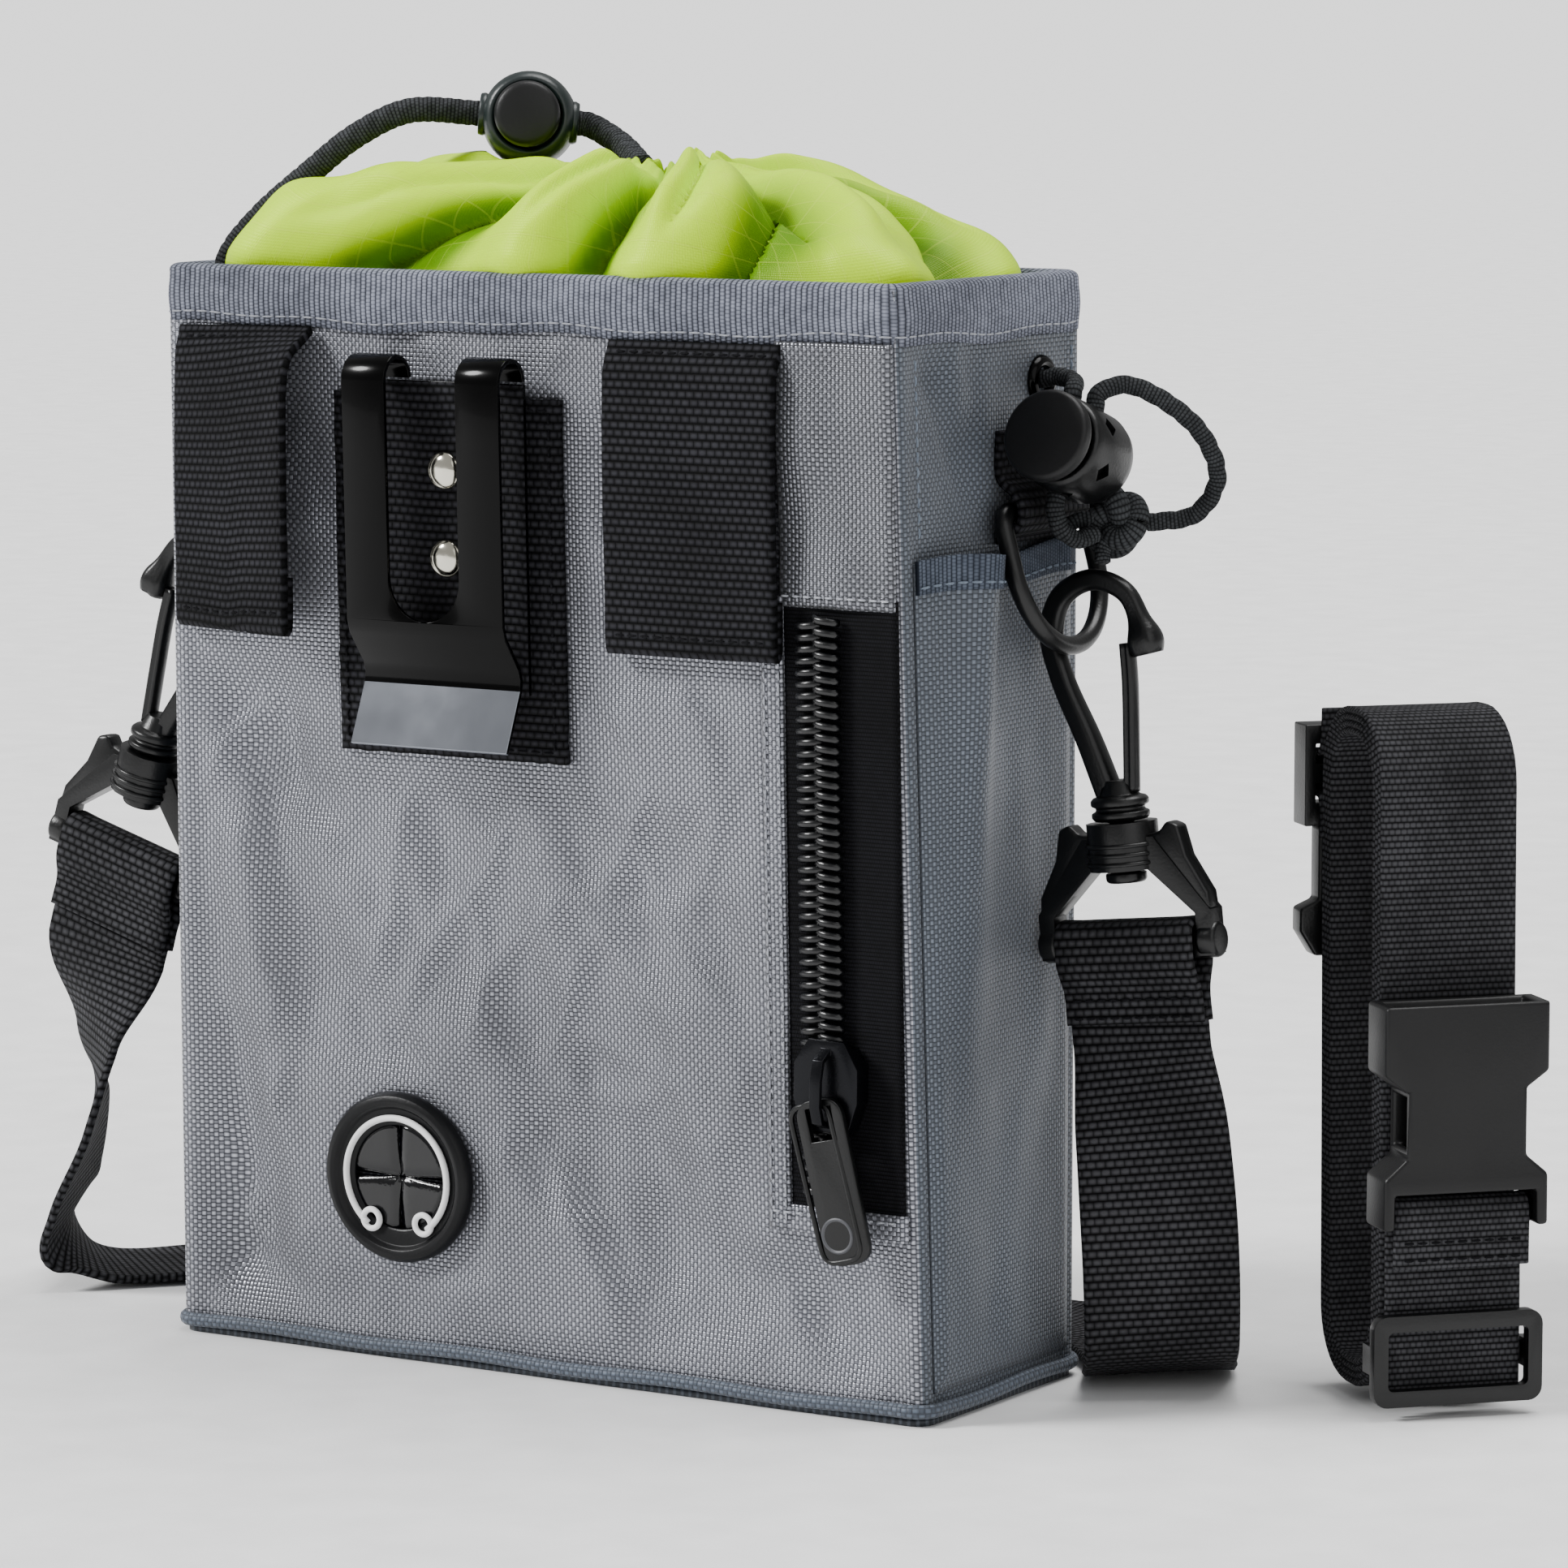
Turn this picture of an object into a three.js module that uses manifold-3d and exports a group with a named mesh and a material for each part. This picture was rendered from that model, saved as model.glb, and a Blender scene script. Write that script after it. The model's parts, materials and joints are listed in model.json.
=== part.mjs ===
// Drawstring treat pouch with belt clip, shoulder strap and a spare waist belt.
// Millimetres, +Z up. The origin is the centre of the pouch's base, on the surface it stands on.
// The face with the clip looks along -Y, the side pocket along +X.

import * as THREE from "three";
import { mergeVertices } from "three/addons/utils/BufferGeometryUtils.js";
import Module from "manifold-3d";

const wasm = await Module();
wasm.setup();

// ---- driving dimensions ----
const HEIGHT = 196;
const HALF_WIDTH = { bottom: 79, top: 76 };
const HALF_DEPTH = { bottom: 26.5, top: 32 };
const CORNER = 3;
const PANEL = 1.6;
const GAP = 0.3;
const WEBBING = 1.4;
const CORD_R = 1.65;

const BASE_THICK = 2;
const PANEL_FOOT = BASE_THICK + GAP;
const PANEL_HEAD = HEIGHT - 1.4;
const BINDING = { wall: 0.9, hem: 11.5, inside: 3 };
const LINING = { wall: 0.8, offset: -(PANEL + GAP) };

const LOOP = { width: 34, top: 183.5, bottom: 131, stand: 6 };
const LOOP_X = [-57, 35];
const PATCH = { x: -15, width: 48, bottom: 110, top: 174, thick: 1.6 };
const CLIP = { x: -14, width: 33, steel: 0.9, foldZ: 177, reach: 10.55, slotWidth: 15, slotFoot: 135 };
const RIVET = { x: -14, heights: [145.5, 161], head: 3.3, shank: 1.4 };
const GROMMET = { x: -28.7, z: 33, outer: 15.5, step: 12.6, inner: 9.4 };
const ZIP = { left: 52.5, right: 74, bottom: 36, top: 140, x: 61.07, slant: 0.038, chainWidth: 8, sliderZ: 50.5 };

const RING = { wire: 1.65, halfWidth: 14.45, corner: 3, barZ: 155, drop: 24.6, barOut: 2.5, lean: 0.27 };
const TAB = { width: 25, top: 169, bottom: 149.4 };
const HOOK = { x: 90.2, z: 134, radius: 9, wire: 1.8, hubX: 1.5 };
const SIDES = [
  { name: "right", sign: 1, ringY: 13, lean: 0.11 },
  { name: "left", sign: -1, ringY: -4, lean: 0.297 },
];
const SWIVEL = { hubR: 5, hubTop: -28.6, hubFoot: -33, pinR: 2.2, blockR: 6.3, blockFoot: -41.6, headR: 3.6 };
const FRAME = { half: 17, window: 14, barTop: -53, foot: -57, thick: 4.6 };
const STRAP = { width: 27.4, thick: 1.4, start: -66.3, backY: 50.5, floor: 1 };
const POCKET = { top: 148, bottom: 4.5, wall: 1.2, bulge: 6.6, bulgeY: -12, bulgeSpread: 7, halfWidth: 0.93 };

const MOUTH = { x: 11.6, z: 209, radius: 11 };
const COLLAR = { footZ: 187, inset: 4.4, wall: 1.2, columns: 24, squareness: 0.2 };
const COLLAR_CORD_R = 2.3;
const TOGGLE = { x: -23, y: 6, z: 221.2, out: [0.52, -0.845, 0.12], holeZ: 1.6 };
const EYELET = { y: 17, z: 177, outer: 4.4, inner: 2.3 };
const SIDE_LOCK = { x: 88.4, y: 8.8, z: 165.4, holeZ: 0.4 };
const KNOT = { x: 91.5, y: 17, z: 153, radius: 4.5 };
const BELT = { x: 137.6, y: 43.8, yaw: 0.82, width: 25, depth: 30, height: 121, wall: 4.8, corner: 13 };
const BUCKLE = { foot: 33, top: 72, half: 15, waist: 10.8, y: -20.2, thick: 9.6, hollow: 3.2 };
const PLUG = { y: 20, foot: 98, top: 116, half: 15 };

// ---- materials ----
const finish = (color, roughness, metalness = 0) =>
  new THREE.MeshStandardMaterial({ color, roughness, metalness });
const GREY_FABRIC = finish(0x8b8e98, 0.75);
const SIDE_FABRIC = finish(0x75808c, 0.8);
const BINDING_TAPE = finish(0x7c7f8c, 0.85);
const LIME_FABRIC = finish(0xb4d62a, 0.6);
const BLACK_WEBBING = finish(0x17181a, 0.85);
const BLACK_CORD = finish(0x101113, 0.9);
const BLACK_PLASTIC = finish(0x1b1c1f, 0.45);
const TOGGLE_PLASTIC = finish(0x2a3433, 0.45);
const BLACK_STEEL = finish(0x141518, 0.3, 0.9);
const BRIGHT_STEEL = finish(0xc9c9cc, 0.25, 1);
const WHITE_PRINT = finish(0xf2f2f2, 0.6);

const pouch = new THREE.Group();

function add(parent, name, geometry, material) {
  const mesh = new THREE.Mesh(geometry, material);
  mesh.name = name;
  parent.add(mesh);
  return mesh;
}

// ---- geometry helpers ----
const vec = (x, y, z) => new THREE.Vector3(x, y, z);
const lerp = THREE.MathUtils.lerp;

function positionsOnly(geometry) {
  const bare = geometry.clone();
  for (const name of Object.keys(bare.attributes)) {
    if (name !== "position") bare.deleteAttribute(name);
  }
  return mergeVertices(bare, 1e-4);
}

function toSolid(geometry) {
  const bare = positionsOnly(geometry);
  return new wasm.Manifold(new wasm.Mesh({
    numProp: 3,
    vertProperties: Float32Array.from(bare.attributes.position.array),
    triVerts: Uint32Array.from(bare.index.array),
  }));
}

function toGeometry(solid) {
  const mesh = solid.getMesh();
  const geometry = new THREE.BufferGeometry();
  geometry.setAttribute("position", new THREE.BufferAttribute(Float32Array.from(mesh.vertProperties), 3));
  geometry.setIndex(new THREE.BufferAttribute(Uint32Array.from(mesh.triVerts), 1));
  return geometry;
}

const cut = (base, ...tools) =>
  toGeometry(tools.reduce((solid, tool) => solid.subtract(toSolid(tool)), toSolid(base)));
const join = (base, ...others) =>
  toGeometry(others.reduce((solid, other) => solid.add(toSolid(other)), toSolid(base)));

// A mesh from a grid of points that may close on itself in either direction, turned outward.
function fromTriangles(points, triangles) {
  let volume = 0;
  for (const [a, b, c] of triangles) {
    volume += points[a].dot(vec().crossVectors(points[b], points[c]));
  }
  const faces = volume < 0 ? triangles.map(([a, b, c]) => [a, c, b]) : triangles;
  const geometry = new THREE.BufferGeometry();
  geometry.setAttribute("position", new THREE.Float32BufferAttribute(points.flatMap((p) => p.toArray()), 3));
  geometry.setIndex(faces.flat());
  return geometry;
}

// Two grids of points, outer and inner, joined round their open edges into one closed body.
function shell(columns, rows, outer, inner, closed = false) {
  const points = [];
  for (const side of [outer, inner]) {
    for (let i = 0; i <= columns; i += 1) {
      for (let j = 0; j <= rows; j += 1) points.push(side(i / columns, j / rows));
    }
  }
  const across = (i) => (closed ? i % columns : i);
  const at = (side, i, j) => (side * (columns + 1) + across(i)) * (rows + 1) + j;
  const triangles = [];
  const quad = (a, b, c, d) => triangles.push([a, b, c], [a, c, d]);
  for (let i = 0; i < columns; i += 1) {
    for (let j = 0; j < rows; j += 1) {
      quad(at(0, i, j), at(0, i + 1, j), at(0, i + 1, j + 1), at(0, i, j + 1));
      quad(at(1, i, j + 1), at(1, i + 1, j + 1), at(1, i + 1, j), at(1, i, j));
    }
    quad(at(0, i + 1, 0), at(0, i, 0), at(1, i, 0), at(1, i + 1, 0));
    quad(at(0, i, rows), at(0, i + 1, rows), at(1, i + 1, rows), at(1, i, rows));
  }
  for (let j = 0; j < rows && !closed; j += 1) {
    quad(at(0, 0, j), at(0, 0, j + 1), at(1, 0, j + 1), at(1, 0, j));
    quad(at(0, columns, j + 1), at(0, columns, j), at(1, columns, j), at(1, columns, j + 1));
  }
  return positionsOnly(fromTriangles(points, triangles));
}

// A closed section carried once round a closed path.
function ring(around, section) {
  const count = section(0).length;
  const points = [];
  for (let i = 0; i < around; i += 1) points.push(...section(i));
  const at = (i, k) => (i % around) * count + (k % count);
  const triangles = [];
  for (let i = 0; i < around; i += 1) {
    for (let k = 0; k < count; k += 1) {
      triangles.push([at(i, k), at(i + 1, k), at(i + 1, k + 1)], [at(i, k), at(i + 1, k + 1), at(i, k + 1)]);
    }
  }
  return fromTriangles(points, triangles);
}

// A flat band of webbing or steel along a path; each stop is [x, y, z, width direction x, y, z].
function band(stops, width, thick, steps) {
  const path = new THREE.CatmullRomCurve3(stops.map((s) => vec(s[0], s[1], s[2])), false, "centripetal");
  const sides = new THREE.CatmullRomCurve3(stops.map((s) => vec(s[3], s[4], s[5])), false, "centripetal");
  const place = (u, v, lift) => {
    const across = sides.getPoint(v).normalize();
    const along = path.getTangent(v);
    across.addScaledVector(along, -across.dot(along)).normalize();
    const up = vec().crossVectors(along, across).normalize();
    return path.getPoint(v).addScaledVector(across, (u - 0.5) * width).addScaledVector(up, lift * thick);
  };
  return shell(1, steps, (u, v) => place(u, v, 0.5), (u, v) => place(u, v, -0.5));
}

// The same, for a path of straight and curved stretches in one plane, given as plain points.
function strip(points, across, width, thick) {
  const along = (k) => points[Math.min(k + 1, points.length - 1)].clone().sub(points[Math.max(k - 1, 0)]).normalize();
  const place = (u, v, lift) => {
    const k = Math.round(v * (points.length - 1));
    const up = vec().crossVectors(along(k), across).normalize();
    return points[k].clone().addScaledVector(across, (u - 0.5) * width).addScaledVector(up, lift * thick);
  };
  const rows = points.length - 1;
  return shell(1, rows, (u, v) => place(u, v, 0.5), (u, v) => place(u, v, -0.5));
}

function tube(points, radius, sides = 8, steps = 20) {
  const section = new THREE.Shape();
  for (let k = 0; k < sides; k += 1) {
    const angle = (2 * Math.PI * k) / sides;
    const move = k === 0 ? "moveTo" : "lineTo";
    section[move](radius * Math.cos(angle), radius * Math.sin(angle));
  }
  section.closePath();
  const path = new THREE.CatmullRomCurve3(points.map((p) => vec(...p)), false, "centripetal");
  return new THREE.ExtrudeGeometry(section, { extrudePath: path, steps, bevelEnabled: false });
}

const block = (x0, x1, y0, y1, z0, z1) =>
  new THREE.BoxGeometry(x1 - x0, y1 - y0, z1 - z0).translate((x0 + x1) / 2, (y0 + y1) / 2, (z0 + z1) / 2);

// A turned piece: profile of [radius, height] about +Z.
const turned = (profile, segments = 24) =>
  new THREE.LatheGeometry(profile.map(([r, h]) => new THREE.Vector2(r, h)), segments).rotateX(Math.PI / 2);
const rod = (radius, z0, z1, segments = 16) =>
  turned([[0, z0], [radius, z0], [radius, z1], [0, z1]], segments);

function outline(points) {
  const shape = new THREE.Shape();
  points.forEach(([x, y], k) => (k === 0 ? shape.moveTo(x, y) : shape.lineTo(x, y)));
  shape.closePath();
  return shape;
}

function roundedOutline(width, height, radius) {
  const x = width / 2 - radius;
  const y = height / 2 - radius;
  const shape = new THREE.Shape();
  shape.absarc(x, y, radius, 0, Math.PI / 2);
  shape.absarc(-x, y, radius, Math.PI / 2, Math.PI);
  shape.absarc(-x, -y, radius, Math.PI, 1.5 * Math.PI);
  shape.absarc(x, -y, radius, 1.5 * Math.PI, 2 * Math.PI);
  return shape;
}

// A plate with its outline in the X-Z plane, its thickness centred on y.
const plateXZ = (shape, thick, y = 0, curveSegments = 4) =>
  new THREE.ExtrudeGeometry(shape, { depth: thick, bevelEnabled: false, curveSegments })
    .rotateX(Math.PI / 2).translate(0, y + thick / 2, 0);

// ---- the pouch's outer form ----
const halfWidth = (z) => lerp(HALF_WIDTH.bottom, HALF_WIDTH.top, z / HEIGHT);
const halfDepth = (z) => lerp(HALF_DEPTH.bottom, HALF_DEPTH.top, z / HEIGHT);
const QUARTERS = [[1, 1], [-1, 1], [-1, -1], [1, -1]];
const CORNER_STEPS = 3;
const TIGHTEST_CORNER = 0.6;

// A point at a corner of the form, at an angle round that corner, moved outward by an offset.
function cornerPoint(quarter, angle, z, offset) {
  const [sx, sy] = QUARTERS[quarter];
  const radius = Math.max(CORNER + offset, TIGHTEST_CORNER);
  return vec(
    sx * (halfWidth(z) + offset - radius) + radius * Math.cos(angle),
    sy * (halfDepth(z) + offset - radius) + radius * Math.sin(angle),
    z,
  );
}

function formPoint(index, z, offset) {
  const perCorner = CORNER_STEPS + 1;
  const quarter = Math.floor(index / perCorner) % 4;
  const angle = (quarter + (index % perCorner) / CORNER_STEPS) * Math.PI / 2;
  return cornerPoint(quarter, angle, z, offset);
}
const FORM_POINTS = 4 * (CORNER_STEPS + 1);

function formPrism(z0, z1, offset) {
  const column = (u, z) => formPoint(Math.round(u * FORM_POINTS) % FORM_POINTS, z, offset);
  const centre = (z) => vec(0, 0, z);
  const points = [centre(z0), centre(z1)];
  for (let i = 0; i < FORM_POINTS; i += 1) {
    points.push(column(i / FORM_POINTS, z0), column(i / FORM_POINTS, z1));
  }
  const triangles = [];
  for (let i = 0; i < FORM_POINTS; i += 1) {
    const a = 2 + 2 * i;
    const b = 2 + 2 * ((i + 1) % FORM_POINTS);
    triangles.push([0, b, a], [1, a + 1, b + 1], [a, b, b + 1], [a, b + 1, a + 1]);
  }
  return fromTriangles(points, triangles);
}

// One side of the pouch: from half way round one corner to half way round the next.
function sidePanel(firstQuarter) {
  const split = GAP / 2 / (CORNER - PANEL);
  const middle = (firstQuarter + 0.5) * Math.PI / 2;
  const stops = [
    [firstQuarter, middle + split],
    [firstQuarter, middle + Math.PI / 8],
    [firstQuarter, (firstQuarter + 1) * Math.PI / 2],
    [(firstQuarter + 1) % 4, (firstQuarter + 1) * Math.PI / 2],
    [(firstQuarter + 1) % 4, middle + 3 * Math.PI / 8],
    [(firstQuarter + 1) % 4, middle + Math.PI / 2 - split],
  ];
  const side = (offset) => (u, v) => {
    const [quarter, angle] = stops[Math.round(u * (stops.length - 1))];
    return cornerPoint(quarter, angle, lerp(PANEL_FOOT, PANEL_HEAD, v), offset);
  };
  return shell(stops.length - 1, 1, side(0), side(-PANEL));
}

function buildShell() {
  add(pouch, "front_panel", sidePanel(0), GREY_FABRIC);
  add(pouch, "left_gusset", sidePanel(1), SIDE_FABRIC);
  add(pouch, "back_panel", sidePanel(2), GREY_FABRIC);
  const cordHole = rod(EYELET.inner, -4, 4).rotateY(Math.PI / 2).translate(halfWidth(EYELET.z), EYELET.y, EYELET.z);
  add(pouch, "right_gusset", cut(sidePanel(3), cordHole), SIDE_FABRIC);
  add(pouch, "base_panel", formPrism(0, BASE_THICK, 0), SIDE_FABRIC);

  const flange = [
    [GAP, HEIGHT - BINDING.hem],
    [GAP + BINDING.wall, HEIGHT - BINDING.hem],
    [GAP + BINDING.wall, HEIGHT],
    [-BINDING.inside - BINDING.wall, HEIGHT],
    [-BINDING.inside - BINDING.wall, HEIGHT - BINDING.hem],
    [-BINDING.inside, HEIGHT - BINDING.hem],
    [-BINDING.inside, PANEL_HEAD + GAP],
    [GAP, PANEL_HEAD + GAP],
  ];
  const hem = ring(FORM_POINTS, (i) => flange.map(([offset, z]) => formPoint(i, z, offset)));
  add(pouch, "rim_binding", hem, BINDING_TAPE);

  const piping = [[GAP, 0.8], [1.9, 1.1], [1.9, 2.9], [GAP, 3.3]];
  const foot = ring(FORM_POINTS, (i) => piping.map(([offset, z]) => formPoint(i, z, offset)));
  add(pouch, "base_piping", foot, SIDE_FABRIC);

  const lining = cut(
    formPrism(PANEL_FOOT, PANEL_HEAD, LINING.offset),
    formPrism(PANEL_FOOT + LINING.wall, HEIGHT + 4, LINING.offset - LINING.wall),
  );
  add(pouch, "inner_lining", lining, LIME_FABRIC);
}

// ---- the collar and its cord ----
const TOGGLE_WAY = vec(7.7, 4.8, -0.9).normalize();
const toggleWay = (along) => vec(TOGGLE.x, TOGGLE.y, TOGGLE.z).addScaledVector(TOGGLE_WAY, along).toArray();
const COLLAR_CORD = [
  [3, 3, 213.2], [-6, 9.5, 217], ...[10.5, 8, 4, 0, -4, -8, -10.5].map(toggleWay), [-41, -6, 222.6],
  [-49, -11, 218.2], [-56, -15, 211.8], [-64, -20, 203.5], [-68.6, -23, 196.5], [-69.6, -24, 190],
];

// From inside the rim, over a soft shoulder, in to a round mouth.
function buildCollar() {
  const rows = [
    { reach: 0, z: COLLAR.footZ },
    { reach: 0.05, z: 199 },
    { reach: 0.2, z: 206 },
    { reach: 0.5, z: 209.5 },
    { reach: 1, z: MOUTH.z },
  ];
  const square = (t) => Math.sign(t) * Math.abs(t) ** COLLAR.squareness;
  const place = (offset) => (u, v) => {
    const angle = 2 * Math.PI * u;
    const row = rows[Math.round(v * (rows.length - 1))];
    const footX = (halfWidth(COLLAR.footZ) - COLLAR.inset - offset) * square(Math.cos(angle));
    const footY = (halfDepth(COLLAR.footZ) - COLLAR.inset - offset) * square(Math.sin(angle));
    const mouthX = MOUTH.x + MOUTH.radius * Math.cos(angle);
    const mouthY = MOUTH.radius * Math.sin(angle);
    const sink = offset * 1.4 * row.reach;
    return vec(lerp(footX, mouthX, row.reach), lerp(footY, mouthY, row.reach), row.z - sink);
  };
  const collar = shell(COLLAR.columns, rows.length - 1, place(0), place(COLLAR.wall), true);
  const cordWay = tube([...COLLAR_CORD.slice(-5), [-69.8, -24.2, 180]], COLLAR_CORD_R + 0.6, 8, 20);
  add(pouch, "drawstring_collar", cut(collar, cordWay), LIME_FABRIC);
  add(pouch, "collar_cord", tube(COLLAR_CORD, COLLAR_CORD_R, 8, 34), BLACK_CORD);
}

// Points a group's +Z along one direction and its +Y along another.
function orient(group, zAxis, yAxis) {
  const z = vec(...zAxis).normalize();
  const x = vec().crossVectors(vec(...yAxis), z).normalize();
  group.quaternion.setFromRotationMatrix(new THREE.Matrix4().makeBasis(x, vec().crossVectors(z, x), z));
}

const LOCK_FLOOR = 1.4;

// Barrel cord lock along +Z, cords crossing along Y: body, sprung button and the spring under it.
function cordLock(group, name, size, material) {
  const half = size.body / 2;
  const bore = rod(size.boreR, -half + LOCK_FLOOR, half + 1, 20);
  const crossing = (x) => rod(size.holeR, -30, 30, 12).rotateX(Math.PI / 2).translate(x, 0, size.holeZ);
  const barrel = turned([[0, -half], [size.radius * 0.86, -half], [size.radius, -half + 2], [size.radius, half - 1.2],
    [size.radius * 0.93, half], [0, half]], 20);
  add(group, `${name}_body`, cut(barrel, bore, ...size.cords.map(crossing)), material);

  const plungerR = size.boreR - GAP;
  const cap = half + size.travel + GAP;
  const slot = (x) => block(x - size.holeR, x + size.holeR, -30, 30,
    size.holeZ - size.holeR, size.holeZ + size.holeR + size.travel);
  const button = turned([[0, size.springTop], [plungerR, size.springTop], [plungerR, cap], [size.capR, cap + 0.3],
    [size.capR, cap + 2], [size.capR * 0.86, cap + 3], [0, cap + 3]], 20);
  add(group, `${name}_button`, cut(button, ...size.cords.map(slot)), material);

  const springFoot = -half + LOCK_FLOOR + GAP;
  add(group, `${name}_spring`, rod(plungerR * 0.7, springFoot, size.springTop - size.travel - GAP, 12), BRIGHT_STEEL);
}

function buildCordLocks() {
  const top = new THREE.Group();
  top.position.set(TOGGLE.x, TOGGLE.y, TOGGLE.z);
  orient(top, TOGGLE.out, TOGGLE_WAY.toArray());
  top.translateZ(-TOGGLE.holeZ);
  pouch.add(top);
  cordLock(top, "collar_lock", {
    radius: 8.4, body: 15, boreR: 5.6, capR: 6, travel: 2, springTop: -2, cords: [0], holeR: 2.8, holeZ: TOGGLE.holeZ,
  }, TOGGLE_PLASTIC);

  const side = new THREE.Group();
  side.position.set(SIDE_LOCK.x, SIDE_LOCK.y, SIDE_LOCK.z);
  orient(side, [0, -0.95, 0.31], [0, 0.31, 0.95]);
  pouch.add(side);
  cordLock(side, "side_lock", {
    radius: 8.2, body: 15, boreR: 6.6, capR: 8.1, travel: 2, springTop: -2.2, cords: [-2.4, 2.4], holeR: 2,
    holeZ: SIDE_LOCK.holeZ,
  }, BLACK_PLASTIC);
}

// Cord points inside the side lock lie on the line of its cross holes.
const lockWay = (x, along) => [
  SIDE_LOCK.x + x,
  SIDE_LOCK.y - 0.95 * SIDE_LOCK.holeZ + 0.31 * along,
  SIDE_LOCK.z + 0.31 * SIDE_LOCK.holeZ + 0.95 * along,
];

function buildSideCord() {
  const straight = [
    [76.2, 17, 177], [79.6, 17.2, 177.6], [83.6, 16, 177], ...[10.5, 8, 4, 0, -4, -8, -9.6].map((s) => lockWay(-2.4, s)),
    [86.6, 6.2, 152.3], [88.4, 9.2, 150.2], [90.4, 12.4, 151.2],
  ];
  const loop = [
    ...[0, 4, 8, 10].map((s) => lockWay(2.4, s)), [94, 15, 176.8], [99, 18, 174.8], [105.5, 22, 168.5],
    [107.5, 24.5, 160.5], [103.5, 24, 154.2], [96, 19.9, 152.6],
  ];
  add(pouch, "side_cord_straight", tube(straight, CORD_R, 8, 24), BLACK_CORD);
  add(pouch, "side_cord_loop", tube(loop, CORD_R, 8, 24), BLACK_CORD);
  const knot = new THREE.IcosahedronGeometry(KNOT.radius, 1).scale(1, 0.8, 1);
  add(pouch, "side_cord_knot", positionsOnly(knot.translate(KNOT.x, KNOT.y, KNOT.z)), BLACK_CORD);

  const eyelet = turned([[EYELET.inner, GAP], [EYELET.outer, GAP], [EYELET.outer - 0.6, 1.4], [EYELET.inner, 1.4],
    [EYELET.inner, GAP]], 20);
  eyelet.rotateY(Math.PI / 2).translate(halfWidth(EYELET.z), EYELET.y, EYELET.z);
  add(pouch, "side_eyelet", positionsOnly(eyelet), BLACK_STEEL);
}

// ---- rings, hooks and the shoulder strap ----
const outwards = (sign, z, out) => sign * (halfWidth(z) + out);

function buildRingTab({ name, sign, ringY }) {
  const flat = GAP + WEBBING / 2;
  const profile = [[flat, TAB.bottom], [flat, 150.2], [4.1, 151.6], [5.4, RING.barZ], [4.1, 158.4], [flat, 160.6],
    [flat, TAB.top]];
  const points = profile.map(([out, z]) => vec(outwards(sign, z, out), ringY, z));
  add(pouch, `ring_tab_${name}`, strip(points, vec(0, 1, 0), TAB.width, WEBBING), BLACK_WEBBING);
}

// Centre line of the D: straight bar at the top, round below, in its own Y-Z plane.
function ringPath() {
  const arc = (cy, cz, radius, from, to, steps) => Array.from({ length: steps + 1 }, (_, k) => {
    const angle = THREE.MathUtils.degToRad(lerp(from, to, k / steps));
    return vec(0, cy + radius * Math.cos(angle), cz + radius * Math.sin(angle));
  });
  const shoulder = RING.halfWidth - RING.corner;
  const waist = RING.halfWidth - RING.drop;
  return [
    ...arc(shoulder, -RING.corner, RING.corner, 90, 0, 3),
    ...arc(0, waist, RING.halfWidth, 0, -180, 14),
    ...arc(-shoulder, -RING.corner, RING.corner, 180, 90, 3),
  ];
}

function buildRing({ name, sign, ringY }) {
  const path = ringPath();
  const count = path.length;
  const section = (i) => {
    const along = path[(i + 1) % count].clone().sub(path[(i + count - 1) % count]).normalize();
    const across = vec().crossVectors(vec(1, 0, 0), along);
    return Array.from({ length: 8 }, (_, k) => {
      const angle = (2 * Math.PI * k) / 8;
      return path[i].clone().addScaledVector(across, RING.wire * Math.cos(angle))
        .add(vec(RING.wire * Math.sin(angle), 0, 0));
    });
  };
  const mesh = add(pouch, `d_ring_${name}`, ring(count, section), BLACK_PLASTIC);
  mesh.position.set(outwards(sign, RING.barZ, RING.barOut), ringY, RING.barZ);
  mesh.rotation.y = -sign * RING.lean;
}

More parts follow.
